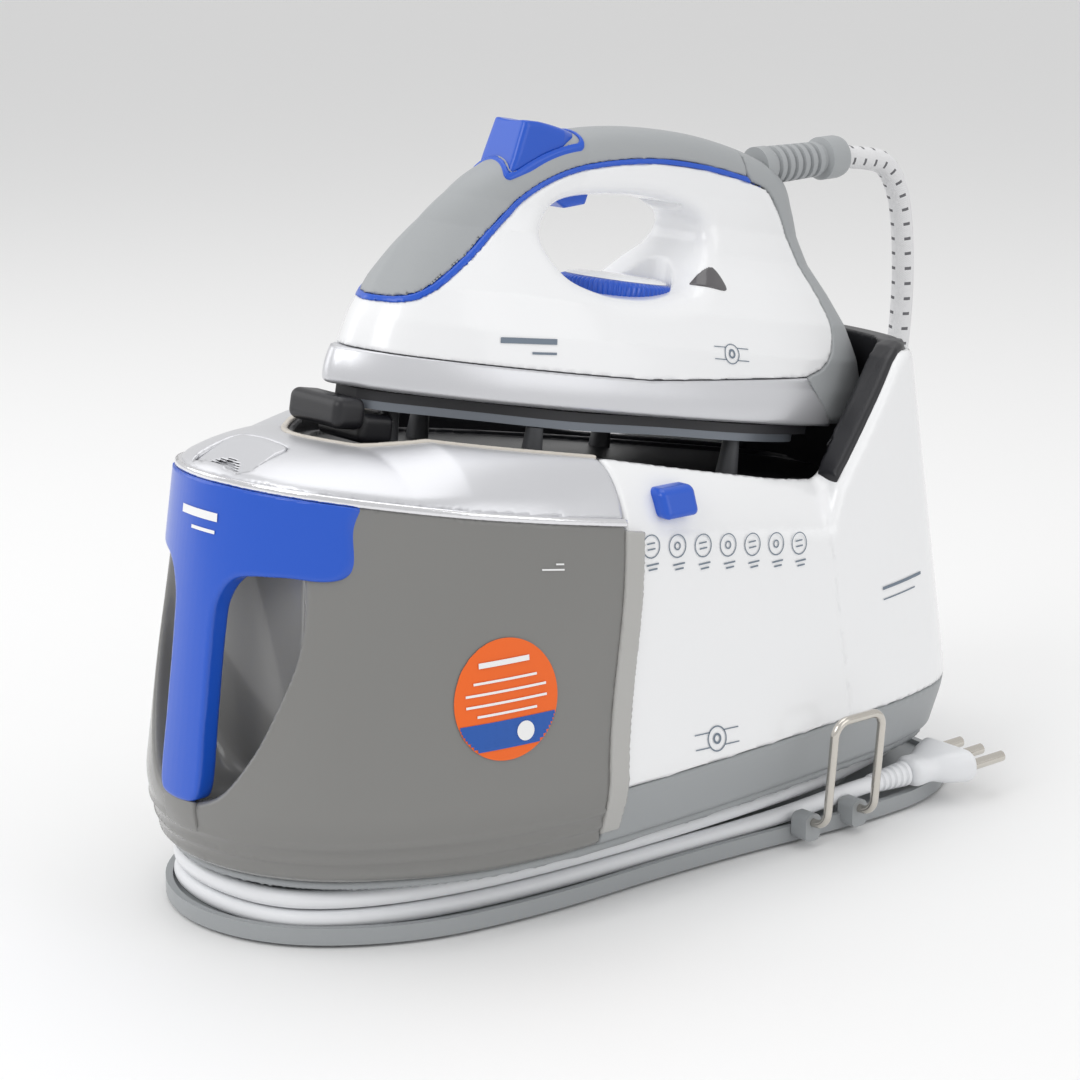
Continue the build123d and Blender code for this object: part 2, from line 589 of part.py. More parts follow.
with BuildPart() as steam_chamber:
    extrude(iron_outline(SOLE_T - SOLE_DEPTH, 13), amount=16)
    add(chamber_zone, mode=Mode.INTERSECT)
    add(iron_heater.part, mode=Mode.SUBTRACT)
save(steam_chamber.part, "steam_chamber")

chamber_top = SOLE_T - SOLE_DEPTH + 16
with BuildPart() as iron_thermostat:
    with BuildSketch(iron_plane.offset(chamber_top)):
        with Locations((0, DIAL_U)):
            Circle(9)
    extrude(amount=10)
save(iron_thermostat.part, "iron_thermostat")

with BuildPart() as temperature_dial:
    with BuildSketch(iron_plane.offset(SADDLE_W + GAP)):
        with Locations((0, DIAL_U)):
            Circle(DIAL_R)
    extrude(amount=6.5)
    fillet(temperature_dial.edges().filter_by(GeomType.CIRCLE), 1)
    with BuildSketch(iron_plane.offset(SADDLE_W + GAP + 5)):
        with Locations((0, DIAL_U)):
            Circle(DIAL_R - 4)
    extrude(amount=3, mode=Mode.SUBTRACT)
save(temperature_dial.part, "temperature_dial")

with BuildPart() as dial_cap:
    with BuildSketch(iron_plane.offset(SADDLE_W + GAP + 5)):
        with Locations((0, DIAL_U)):
            Circle(DIAL_R - 4.1)
    extrude(amount=2.2)
save(dial_cap.part, "dial_cap")

with BuildPart() as dial_shaft:
    with BuildSketch(iron_plane.offset(chamber_top + 10 + GAP)):
        with Locations((0, DIAL_U)):
            Circle(4)
    extrude(amount=SADDLE_W - chamber_top - 10)
save(dial_shaft.part, "dial_shaft")

TRIGGER_PIVOT = (152.0, 93.0)
with BuildPart() as steam_trigger:
    add(iron_slab([(106, 80.5), (112, 84), (135, 88), (157, 89), (157, 95), (110, 93), (105, 90)], 6.9))
    with BuildSketch(iron_side):
        with Locations(TRIGGER_PIVOT):
            Circle(1.55)
    extrude(amount=20, both=True, mode=Mode.SUBTRACT)
save(steam_trigger.part, "steam_trigger")

with BuildPart() as trigger_pin:
    with BuildSketch(iron_side):
        with Locations(TRIGGER_PIVOT):
            Circle(1.5)
    extrude(amount=7.4, both=True)
save(trigger_pin.part, "trigger_pin")

with BuildPart() as steam_button:
    add(iron_slab([(73, 94), (73, 98), (78, 115.5), (84, 117), (101, 115.5), (104, 110), (104, 94)], 11))
    fillet(steam_button.edges().filter_by(Axis.X).sort_by(Axis.Z)[-3:], 1.5)
save(steam_button.part, "steam_button")

with BuildPart() as button_spring:
    with BuildSketch(iron_plane.offset(88)):
        with Locations((0, 88)):
            Circle(4)
            Circle(3, mode=Mode.SUBTRACT)
    extrude(amount=5.7)
save(button_spring.part, "button_spring")

with BuildPart() as microswitch:
    add(iron_slab([(112, 99), (132, 99), (132, 107), (112, 107)], 5))
save(microswitch.part, "microswitch")

relief_root, relief_end = iron_point(222, 108), iron_point(274, 121)
relief_axis = (relief_end - relief_root).normalized()
RELIEF_LENGTH = (relief_end - relief_root).length
bell_plane = Plane(
    origin=relief_root + relief_axis * (RELIEF_LENGTH - 12),
    x_dir=(1, 0, 0),
    z_dir=relief_axis,
)
with BuildPart() as hose_relief:
    with BuildSketch(Plane(origin=relief_root, x_dir=(1, 0, 0), z_dir=relief_axis)):
        Circle(7)
    with BuildSketch(bell_plane):
        Circle(7.8)
    loft()
    with BuildSketch(bell_plane):
        Circle(9.3)
    extrude(amount=12)
    add(behind_rear_line & iron_body.part, mode=Mode.SUBTRACT)
save(hose_relief.part, "hose_relief")

# ================================================================ buttons on the left flank
with BuildPart() as control_panel:
    with BuildSketch(flank.offset(-5)):
        RectangleRounded(PANEL_L, PANEL_H, 8)
        with Locations((-BUTTON_PITCH, 0), (0, 0)):
            Circle(BUTTON_R + GAP, mode=Mode.SUBTRACT)
        with Locations((BUTTON_PITCH - 6, 0), (BUTTON_PITCH + 2, 0)):
            Circle(2, mode=Mode.SUBTRACT)
    extrude(amount=7)
save(control_panel.part, "control_panel")

for label, offset in (("power_button", -BUTTON_PITCH), ("steam_level_button", 0.0)):
    with BuildPart() as button:
        with BuildSketch(flank.offset(-2.5)):
            with Locations((offset, 0)):
                Circle(BUTTON_R)
        extrude(amount=6.5)
        fillet(button.faces().sort_by(Axis.X)[0].edges(), 1)
    save(button.part, label)

with BuildPart() as status_lights:
    with BuildSketch(flank.offset(-4)):
        with Locations((BUTTON_PITCH - 6, 0), (BUTTON_PITCH + 2, 0)):
            Circle(1.95)
    extrude(amount=6.3)
save(status_lights.part, "status_lights")

with BuildPart() as button_board:
    with BuildSketch(flank.offset(-9)):
        Rectangle(78, 20)
    extrude(amount=1.6)
    with BuildSketch(flank.offset(-7.4)):
        with Locations((-BUTTON_PITCH, 0), (0, 0)):
            Rectangle(6, 6)
    extrude(amount=1.4)
save(button_board.part, "button_board")

# ================================================================ cords
HOSE_R, CORD_R = HOSE_D / 2, CORD_D / 2
WIND_N, WIND_HALF, WIND_LONG, WIND_MIDDLE = 20, 77.5, 185.0, -4.0
WIND_POWER = 2.8
UPPER_Z, LOWER_Z = 18.0, 9.85


def wind_point(step, z):
    """Point of the cord wound round the groove; step 0 is the rear, a quarter turn later the left."""
    angle = math.pi / 2 + 2 * math.pi * step / WIND_N
    c, s = math.cos(angle), math.sin(angle)
    x = WIND_HALF * math.copysign(abs(c) ** (2 / WIND_POWER), c)
    y = WIND_LONG * math.copysign(abs(s) ** (2 / WIND_POWER), s)
    return (x, WIND_MIDDLE + y, z)


def arc_radii(route):
    """Radius of the arc at each inner point: 0.45 of the shorter run over the tangent of half the turn."""
    points = [Vector(*p) for p in route]
    radii = []
    for before, here, after in zip(points, points[1:], points[2:]):
        turn = (here - before).get_angle(after - here)
        shorter = min((here - before).length, (after - here).length)
        radii.append(0.45 * shorter / math.tan(math.radians(turn) / 2))
    return radii


def tube(route, radius):
    """Round tube along straight runs joined by tangent arcs."""
    radii = arc_radii(route)
    with BuildPart() as piece:
        with BuildLine():
            path = FilletPolyline(*route, radius=radii)
        with BuildSketch(Plane(origin=route[0], z_dir=Vector(*route[1]) - Vector(*route[0]))):
            Circle(radius)
        sweep()
    print("arc radii", [round(r) for r in radii])
    ratio = piece.part.volume / (math.pi * radius**2 * path.length)
    print("length", round(path.length), "volume ratio", round(ratio, 3))
    return piece.part


CORD_EXIT = (-12.0, 181.0, UPPER_Z)
PLUG_START = (86.8, 106.0, 15.6)
cord_route = [CORD_EXIT]
cord_route += [wind_point(step, UPPER_Z) for step in range(1, 18)]
cord_route += [wind_point(18, 16.5), wind_point(19, 12.5)]
cord_route += [wind_point(step, LOWER_Z) for step in range(20, 36)]
cord_route += [(79.5, 34, 9.9), (82.5, 62, 11.6), (86, 88, 15.0), PLUG_START]
power_cord = tube(cord_route, CORD_R)
save(power_cord, "power_cord")

cord_heading = (Vector(*cord_route[1]) - Vector(*CORD_EXIT)).normalized()
relief_back = Vector(*CORD_EXIT) - cord_heading * 24
with BuildPart() as mains_gland:
    with BuildSketch(Plane(origin=relief_back, z_dir=cord_heading)):
        Circle(4.8)
    with BuildSketch(Plane(origin=CORD_EXIT, z_dir=cord_heading)):
        Circle(CORD_R + 0.05)
    loft()
    with Locations((20, 161, UPPER_Z + 2)):
        Box(20, 30, 7.6, align=(Align.CENTER, Align.MIN, Align.CENTER))
    add(base_tray.part, mode=Mode.SUBTRACT)
save(mains_gland.part, "mains_gland")

PIN_PITCH, PIN_R, PIN_LENGTH = 13.0, 2.5, 19.0
RELIEF_L, BODY_L = 22.0, 30.0
plug_heading = (Vector(*PLUG_START) - Vector(*cord_route[-2])).normalized()


def plug_plane(distance):
    """Plane across the plug, this far beyond the end of the cord."""
    return Plane(origin=Vector(*PLUG_START) + plug_heading * distance, x_dir=(1, 0, 0), z_dir=plug_heading)


with BuildPart() as plug_relief:
    with BuildSketch(plug_plane(0)):
        Circle(CORD_R + 0.3)
    with BuildSketch(plug_plane(RELIEF_L)):
        Circle(6)
    loft()
save(plug_relief.part, "plug_relief")

with BuildPart() as plug_body:
    with BuildSketch(plug_plane(RELIEF_L)):
        RectangleRounded(18, 13, 5.5)
    with BuildSketch(plug_plane(RELIEF_L + BODY_L)):
        RectangleRounded(36, 15, 6)
    loft()
save(plug_body.part, "plug_body")

with BuildPart() as plug_pins:
    with BuildSketch(plug_plane(RELIEF_L + BODY_L)):
        with Locations((-PIN_PITCH, 0), (0, 0), (PIN_PITCH, 0)):
            Circle(PIN_R)
    extrude(amount=PIN_LENGTH)
save(plug_pins.part, "plug_pins")

# Steam hose: from the iron down behind the base, a put-away coil, and up into the rear gland.
COIL_X, COIL_Y = -150.0, 212.0
COIL_MIDDLE = 58.7
COIL_PITCH = HOSE_D + 0.2
hose_start = tuple(relief_end)
hose_drop = [hose_start, tuple(relief_end + relief_axis * 16), (0, 197, 280), (0, 207, 265)]
hose_drop += [(0, 211, 243), (0, 212, 214)]
hose_drop += [(-3, 212, 182), (-10, 213, 150), (-21, 215, 119), (-35, 220, 90), (-50, 228, 66), (-67, 239, 47)]
hose_drop += [(-84, 251, 34), (-101, 262, 26), (-116, 270, 21)]
hose_return = [(-103.5, 165.5, 5.5), (-94, 171.5, 11), (-80, 180, 21.5), (-64.5, 190.5, 32.5), HOSE_EXIT]

steam_hose = tube(hose_drop, HOSE_R)
save(steam_hose, "steam_hose")
steam_hose_tail = tube(hose_return, HOSE_R)
save(steam_hose_tail, "steam_hose_tail")

with BuildPart() as hose_coil:
    with BuildSketch():
        with Locations((COIL_X, COIL_Y)):
            Circle(COIL_MIDDLE + COIL_PITCH + HOSE_R)
            Circle(COIL_MIDDLE - COIL_PITCH - HOSE_R, mode=Mode.SUBTRACT)
    extrude(amount=HOSE_D + 0.3)
    with BuildSketch(Plane.XY.offset(HOSE_D + 0.3)):
        with Locations((COIL_X, COIL_Y)):
            Circle(COIL_MIDDLE + HOSE_R)
            Circle(COIL_MIDDLE - HOSE_R, mode=Mode.SUBTRACT)
    extrude(amount=9.7)
    add(steam_hose, mode=Mode.SUBTRACT)
    add(steam_hose_tail, mode=Mode.SUBTRACT)
save(hose_coil.part, "hose_coil")

with BuildPart() as hose_gland:
    with BuildSketch(gland_plane):
        Circle(GLAND_R)
    extrude(amount=32)
save(hose_gland.part, "hose_gland")
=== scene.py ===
import math

import bpy
import numpy as np
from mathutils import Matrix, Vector

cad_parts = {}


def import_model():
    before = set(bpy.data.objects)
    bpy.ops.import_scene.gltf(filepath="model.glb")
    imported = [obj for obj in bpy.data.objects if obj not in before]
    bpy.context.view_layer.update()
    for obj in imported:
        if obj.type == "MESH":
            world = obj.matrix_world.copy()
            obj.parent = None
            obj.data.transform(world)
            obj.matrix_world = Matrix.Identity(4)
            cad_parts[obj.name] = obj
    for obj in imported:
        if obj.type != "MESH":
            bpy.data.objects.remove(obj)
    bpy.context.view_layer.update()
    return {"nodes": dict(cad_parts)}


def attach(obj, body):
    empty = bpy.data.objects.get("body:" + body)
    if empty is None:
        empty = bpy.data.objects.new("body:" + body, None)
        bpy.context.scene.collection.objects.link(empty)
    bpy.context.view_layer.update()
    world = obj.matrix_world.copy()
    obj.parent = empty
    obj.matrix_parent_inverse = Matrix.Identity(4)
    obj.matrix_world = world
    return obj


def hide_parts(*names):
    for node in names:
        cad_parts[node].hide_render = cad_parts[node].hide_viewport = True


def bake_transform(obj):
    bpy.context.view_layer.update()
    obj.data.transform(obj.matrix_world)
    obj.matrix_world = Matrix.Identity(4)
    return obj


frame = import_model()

# Camera: lens in mm, places in metres.
view_from, view_to = Vector((0.9030, -0.7717, 0.4295)), Vector((-0.0641, 0.0398, 0.1100))
camera_data = bpy.data.cameras.new("camera")
camera_data.lens, camera_data.sensor_width = 93.3, 36.0
camera = bpy.data.objects.new("camera", camera_data)
camera.location = view_from
camera.rotation_euler = (view_to - view_from).to_track_quat("-Z", "Y").to_euler()
bpy.context.scene.collection.objects.link(camera)
bpy.context.scene.camera = camera


# ---------------------------------------------------------------- materials
def material(name, color, rough=0.4, metal=0.0, coat=0.0, bump=0.0, grain=900.0, mottle=0.0):
    """Principled material; one noise drives the bump and the roughness mottling."""
    m = bpy.data.materials.new(name)
    m.use_nodes = True
    nodes, links = m.node_tree.nodes, m.node_tree.links
    shader = nodes["Principled BSDF"]
    shader.inputs["Base Color"].default_value = (*color, 1)
    shader.inputs["Roughness"].default_value = rough
    shader.inputs["Metallic"].default_value = metal
    shader.inputs["Coat Weight"].default_value = coat
    shader.inputs["Coat Roughness"].default_value = 0.08
    place = nodes.new("ShaderNodeTexCoord")
    noise = nodes.new("ShaderNodeTexNoise")
    noise.inputs["Scale"].default_value = grain
    noise.inputs["Detail"].default_value = 3.0
    links.new(place.outputs["Object"], noise.inputs["Vector"])
    if bump:
        bumps = nodes.new("ShaderNodeBump")
        bumps.inputs["Strength"].default_value = bump
        bumps.inputs["Distance"].default_value = 0.0004
        links.new(noise.outputs["Fac"], bumps.inputs["Height"])
        links.new(bumps.outputs["Normal"], shader.inputs["Normal"])
    if mottle:
        ramp = nodes.new("ShaderNodeMapRange")
        ramp.inputs["To Min"].default_value = rough - mottle
        ramp.inputs["To Max"].default_value = rough + mottle
        links.new(noise.outputs["Fac"], ramp.inputs["Value"])
        links.new(ramp.outputs["Result"], shader.inputs["Roughness"])
    return m


white = material("white", (0.86, 0.865, 0.875), 0.22, coat=0.4, bump=0.02, grain=60)
grey_band = material("grey_band", (0.33, 0.345, 0.355), 0.42, bump=0.15, grain=2500)
soft_grey = material("soft_grey", (0.36, 0.375, 0.385), 0.5, bump=0.25, grain=3000)
blue = material("blue", (0.006, 0.085, 0.55), 0.28, coat=0.2, bump=0.03, grain=80)
silver = material("silver", (0.66, 0.665, 0.69), 0.3, metal=0.55, bump=0.1, grain=3500, mottle=0.04)
chrome = material("chrome", (0.8, 0.8, 0.82), 0.15, metal=0.95, mottle=0.03)
black = material("black", (0.012, 0.012, 0.015), 0.38, bump=0.15, grain=1800)
dark = material("dark", (0.03, 0.03, 0.034), 0.55, bump=0.1)
sole = material("sole", (0.2, 0.22, 0.25), 0.35, metal=0.6, mottle=0.06)
rubber = material("rubber", (0.03, 0.03, 0.03), 0.7, bump=0.2)
peg_grey = material("peg_grey", (0.06, 0.062, 0.068), 0.5, bump=0.1)
nickel = material("nickel", (0.62, 0.59, 0.54), 0.2, metal=1.0, mottle=0.06, grain=300)
steel = material("steel", (0.5, 0.5, 0.5), 0.35, metal=1.0, mottle=0.08, grain=200)
brass = material("brass", (0.55, 0.4, 0.15), 0.35, metal=1.0, mottle=0.06, grain=200)
board = material("board", (0.02, 0.15, 0.05), 0.5, bump=0.2)
pvc = material("pvc", (0.8, 0.81, 0.83), 0.38, bump=0.08, grain=500)
frost = material("frost", (0.7, 0.75, 0.8), 0.3)
mark_grey = material("mark_grey", (0.16, 0.2, 0.25), 0.5)
mark_white = material("mark_white", (0.85, 0.85, 0.85), 0.5)
orange = material("orange", (0.85, 0.13, 0.005), 0.45)
sticker_blue = material("sticker_blue", (0.01, 0.09, 0.4), 0.45)
cream = material("cream", (0.62, 0.58, 0.52), 0.4)
smoked = material("smoked", (0.27, 0.268, 0.258), 0.22, coat=0.35, bump=0.02, grain=40)
shader = smoked.node_tree.nodes["Principled BSDF"]
shader.inputs["Transmission Weight"].default_value = 0.2
shader.inputs["IOR"].default_value = 1.3
flange_grey = material("flange_grey", (0.43, 0.425, 0.41), 0.25, coat=0.35, bump=0.02, grain=40)
lens_grey = material("lens_grey", (0.09, 0.085, 0.09), 0.2, coat=0.5)
floor_white = material("floor_white", (0.9, 0.9, 0.9), 0.6)


def hose_material():
    """White braid with two rows of short grey dashes, from the tube's UV map: u along in metres, v round."""
    m = material("textile", (0.75, 0.75, 0.76), 0.85)
    nodes, links = m.node_tree.nodes, m.node_tree.links
    shader = nodes["Principled BSDF"]
    uv = nodes.new("ShaderNodeUVMap")
    split = nodes.new("ShaderNodeSeparateXYZ")
    links.new(uv.outputs["UV"], split.inputs[0])

    def math_node(kind, a, b):
        node = nodes.new("ShaderNodeMath")
        node.operation = kind
        for socket, value in zip(node.inputs, (a, b)):
            if isinstance(value, (int, float)):
                socket.default_value = value
            else:
                links.new(value, socket)
        return node.outputs[0]

    along = math_node("FRACT", math_node("DIVIDE", split.outputs["X"], 0.0072), 0)
    dash = math_node("GREATER_THAN", along, 0.80)
    around = math_node("FRACT", math_node("MULTIPLY", split.outputs["Y"], 4.0), 0)
    row = math_node("LESS_THAN", around, 0.42)
    both = math_node("MULTIPLY", dash, row)
    mix = nodes.new("ShaderNodeMix")
    mix.data_type = "RGBA"
    mix.inputs["A"].default_value = (0.75, 0.75, 0.76, 1)
    mix.inputs["B"].default_value = (0.14, 0.14, 0.15, 1)
    links.new(both, mix.inputs["Factor"])
    links.new(mix.outputs["Result"], shader.inputs["Base Color"])
    weave = math_node("SINE", math_node("MULTIPLY", split.outputs["X"], 6000.0), 0)
    knit = math_node("SINE", math_node("MULTIPLY", split.outputs["Y"], 150.0), 0)
    bump = nodes.new("ShaderNodeBump")
    bump.inputs["Strength"].default_value = 0.35
    bump.inputs["Distance"].default_value = 0.0003
    links.new(math_node("MULTIPLY", weave, knit), bump.inputs["Height"])
    links.new(bump.outputs["Normal"], shader.inputs["Normal"])
    return m


# ---------------------------------------------------------------- cords
TILT = math.radians(10.2)                   # how far the iron leans back on its rest
C, S = math.cos(TILT), math.sin(TILT)
NOSE_Y, NOSE_Z = 126, 214                   # origin of the iron's frame: (0, -NOSE_Y, NOSE_Z)
CORD_RADIUS, HOSE_RADIUS = 0.00375, 0.00525  # in metres


def world(x, u, w):
    """Iron coordinates in mm (across, along the sole, square to it) to the row frame in mm."""
    return x, -NOSE_Y + u * C + w * S, NOSE_Z - u * S + w * C


def iron(y, z):
    """Row frame in mm to the iron's u and w."""
    return (y + NOSE_Y) * C - (z - NOSE_Z) * S, (y + NOSE_Y) * S + (z - NOSE_Z) * C


def link(name, mesh, body=None, look=None, replaced=()):
    """Object in the scene, with its material, its body and the CAD nodes it stands for."""
    o = bpy.data.objects.new(name, mesh)
    bpy.context.scene.collection.objects.link(o)
    if look is not None:
        o.data.materials.clear()
        o.data.materials.append(look)
    if body:
        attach(o, body)
    if replaced:
        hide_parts(*replaced)
    return o


STEPS_ROUND, SQUARENESS = 20, 2 / 2.8


def wind_point(step, z):
    """Point of the cord's winding round the foot, a rounded oblong, in mm."""
    angle = math.pi / 2 + 2 * math.pi * step / STEPS_ROUND
    c, s = math.cos(angle), math.sin(angle)
    return 77.5 * math.copysign(abs(c) ** SQUARENESS, c), 185 * math.copysign(abs(s) ** SQUARENESS, s) - 4, z


route = [(-12, 181, 18)] + [wind_point(k, 18) for k in range(1, 18)]
route += [wind_point(18, 16.5), wind_point(19, 12.5)] + [wind_point(k, 9.85) for k in range(20, 36)]
route += [(79.5, 34, 9.9), (82.5, 62, 11.6), (86, 88, 15.0), (86.8, 106.0, 15.6)]


def nurbs(name, points):
    """NURBS curve through a control polygon in mm."""
    curve = bpy.data.curves.new(name, "CURVE")
    curve.dimensions = "3D"
    spline = curve.splines.new("NURBS")
    spline.points.add(len(points) - 1)
    for p, (x, y, z) in zip(spline.points, points):
        p.co = (x / 1000, y / 1000, z / 1000, 1)
    spline.order_u = 3
    spline.use_endpoint_u = True
    spline.resolution_u = 12
    return curve


def centreline(curve):
    """Dense points along a curve, in metres."""
    o = bpy.data.objects.new("line", curve)
    bpy.context.scene.collection.objects.link(o)
    bpy.context.view_layer.update()
    mesh = bpy.data.meshes.new_from_object(o.evaluated_get(bpy.context.evaluated_depsgraph_get()))
    points = np.array([v.co for v in mesh.vertices], float)
    bpy.data.objects.remove(o)
    bpy.data.meshes.remove(mesh)
    return points


def length_of(points):
    return float(np.linalg.norm(np.diff(points, axis=0), axis=1).sum())


mains = nurbs("power_cord_v", route)
mains_length = length_of(centreline(mains))
mains.bevel_depth, mains.bevel_resolution = CORD_RADIUS, 6
mains_cord = link("power_cord_v", mains, "base", pvc, ["power_cord"])

relief_end = world(0, 274, 121)
hose_points = [relief_end, world(0, 290, 122), (0, 197, 280), (0, 207, 265), (0, 211, 243), (0, 212, 214)]
hose_points += [(-3, 212, 182), (-10, 213, 150), (-21, 215, 119), (-35, 220, 90), (-50, 228, 66), (-67, 239, 47)]
hose_points += [(-84, 251, 34), (-101, 262, 26), (-116, 270, 21)]
COIL = [(75, 67, 18), (110, 65, 16), (160, 63, 16), (220, 61, 16), (290, 58, 16), (350, 53, 16), (385, 48, 16)]
COIL += [(415, 41, 15), (445, 37.5, 10.5), (470, 37.5, 5.9), (490, 38.3, 5.4)]
for angle, radius, z in COIL + [(a, 38 + 10.8 * (a - 480) / 360, 5.4) for a in range(505, 1381, 25)]:
    turn = math.radians(angle)
    hose_points.append((-150 + radius * math.cos(turn), 212 + radius * math.sin(turn), z))
hose_points += [(-103.5, 165.5, 6.2), (-94, 171.5, 11), (-80, 180, 21.5), (-64.5, 190.5, 32.5), (-50, 201, 38)]


def tube(name, path, radius, sides=20):
    """Mesh tube in metres along a dense path, with a UV map: u in metres along, v round."""
    path = np.asarray(path)
    tangents = np.gradient(path, axis=0)
    tangents /= np.linalg.norm(tangents, axis=1)[:, None]
    normal = np.cross(tangents[0], (1, 0, 0))
    normal /= np.linalg.norm(normal)
    rings, along, total = [], [], 0.0
    for k, (p, t) in enumerate(zip(path, tangents)):
        normal = normal - t * normal.dot(t)
        normal /= np.linalg.norm(normal)
        side = np.cross(t, normal)
        total += np.linalg.norm(p - path[k - 1]) if k else 0.0
        along.append(total)
        turns = [2 * math.pi * i / sides for i in range(sides)]
        rings.append([p + radius * (math.cos(a) * normal + math.sin(a) * side) for a in turns])
    verts = [tuple(v) for ring in rings for v in ring]
    faces, uvs = [], []
    for k in range(len(path) - 1):
        for i in range(sides):
            j = (i + 1) % sides
            faces.append((k * sides + i, k * sides + j, (k + 1) * sides + j, (k + 1) * sides + i))
            a, b = i / sides, (i + 1) / sides
            uvs += [(along[k], a), (along[k], b), (along[k + 1], b), (along[k + 1], a)]
    ends = [tuple(range(sides))[::-1], tuple(len(verts) - sides + i for i in range(sides))]
    mesh = bpy.data.meshes.new(name)
    mesh.from_pydata(verts, [], faces + ends)
    layer = mesh.uv_layers.new(name="UVMap")
    layer.data.foreach_set("uv", np.array(uvs + [(0, 0)] * (2 * sides), np.float32).ravel())
    for polygon in mesh.polygons[: len(faces)]:
        polygon.use_smooth = True
    return mesh


hose_path = centreline(nurbs("hose_line", hose_points))
hose = link("steam_hose_v", tube("steam_hose_v", hose_path, HOSE_RADIUS), None, hose_material())
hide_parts("steam_hose", "steam_hose_tail", "hose_coil")
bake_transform(hose)


# ---------------------------------------------------------------- distance fields, in mm
def smooth_line(points, closed=False, per=8):
    """Centripetal Catmull-Rom points through the given ones."""
    p = np.array(points, float)
    if closed:
        p = np.vstack([p[-1], p, p[0], p[1]])
    else:
        p = np.vstack([2 * p[0] - p[1], p, 2 * p[-1] - p[-2]])
    out = []
    for a, b, c, d in zip(p, p[1:], p[2:], p[3:]):
        k = [0.0]
        for s, e in ((a, b), (b, c), (c, d)):
            k.append(k[-1] + max(np.linalg.norm(e - s), 1e-6) ** 0.5)
        for t in np.linspace(k[1], k[2], per, endpoint=False):
            ab = (k[1] - t) / (k[1] - k[0]) * a + (t - k[0]) / (k[1] - k[0]) * b
            bc = (k[2] - t) / (k[2] - k[1]) * b + (t - k[1]) / (k[2] - k[1]) * c
            cd = (k[3] - t) / (k[3] - k[2]) * c + (t - k[2]) / (k[3] - k[2]) * d
            abc = (k[2] - t) / (k[2] - k[0]) * ab + (t - k[0]) / (k[2] - k[0]) * bc
            bcd = (k[3] - t) / (k[3] - k[1]) * bc + (t - k[1]) / (k[3] - k[1]) * cd
            out.append((k[2] - t) / (k[2] - k[1]) * abc + (t - k[1]) / (k[2] - k[1]) * bcd)
    if not closed:
        out.append(p[-2])
    return np.array(out)


def plane_field(outline, pad=40.0, cell=1.0):
    """Signed distance to a closed outline, negative inside, as a function of two coordinates."""
    o = np.asarray(outline, float)
    low, high = o.min(0) - pad, o.max(0) + pad
    n = np.ceil((high - low) / cell).astype(int) + 1
    a = low[0] + cell * np.arange(n[0])[:, None]
    b = low[1] + cell * np.arange(n[1])[None, :]
    best = np.full((n[0], n[1]), 1e12)
    inside = np.zeros((n[0], n[1]), bool)
    for (x0, y0), (x1, y1) in zip(o, np.roll(o, -1, 0)):
        dx, dy = x1 - x0, y1 - y0
        t = np.clip(((a - x0) * dx + (b - y0) * dy) / max(dx * dx + dy * dy, 1e-12), 0, 1)
        best = np.minimum(best, (a - x0 - t * dx) ** 2 + (b - y0 - t * dy) ** 2)
        if y0 != y1:
            inside ^= ((b > min(y0, y1)) & (b <= max(y0, y1))) & (a < x0 + (b - y0) * dx / dy)
    grid = (np.sqrt(best) * np.where(inside, -1, 1)).astype(np.float32)

    def field(p, q):
        s, t = np.broadcast_arrays((p - low[0]) / cell, (q - low[1]) / cell)
        over = np.hypot(s - np.clip(s, 0, n[0] - 1), t - np.clip(t, 0, n[1] - 1)) * cell
        s, t = np.clip(s, 0, n[0] - 1.001), np.clip(t, 0, n[1] - 1.001)
        i, j = s.astype(np.int32), t.astype(np.int32)
        f, g = s - i, t - j
        v = grid[i, j] * (1 - f) * (1 - g) + grid[i + 1, j] * f * (1 - g)
        return v + grid[i, j + 1] * (1 - f) * g + grid[i + 1, j + 1] * f * g + over

    return field


def both_sides(half):
    """A closed outline from its right half, front to rear."""
    return smooth_line([*half, *[(-x, y) for x, y in reversed(half[1:-1])]], closed=True)


def smax(a, b, r):
    """Smooth maximum: the intersection of two fields with a rounded edge."""
    h = np.clip(0.5 + 0.5 * (a - b) / r, 0, 1)
    return b * (1 - h) + a * h + r * h * (1 - h)


def smin(a, b, r):
    return -smax(-a, -b, r)


def rounded_box(x, y, z, centre, half, r):
    q = [np.abs(v - c) - (h - r) for v, c, h in zip((x, y, z), centre, half)]
    outer = np.sqrt(sum(np.maximum(v, 0) ** 2 for v in q))
    return outer + np.minimum(np.maximum(np.maximum(q[0], q[1]), q[2]), 0) - r


NEWTON_STEPS = 3     # moves of each vertex on to the field's zero
CORNERS = [(i, j, k) for i in (0, 1) for j in (0, 1) for k in (0, 1)]
EDGES = [(a, b) for a in range(8) for b in range(a + 1, 8)
         if sum(p != q for p, q in zip(CORNERS[a], CORNERS[b])) == 1]


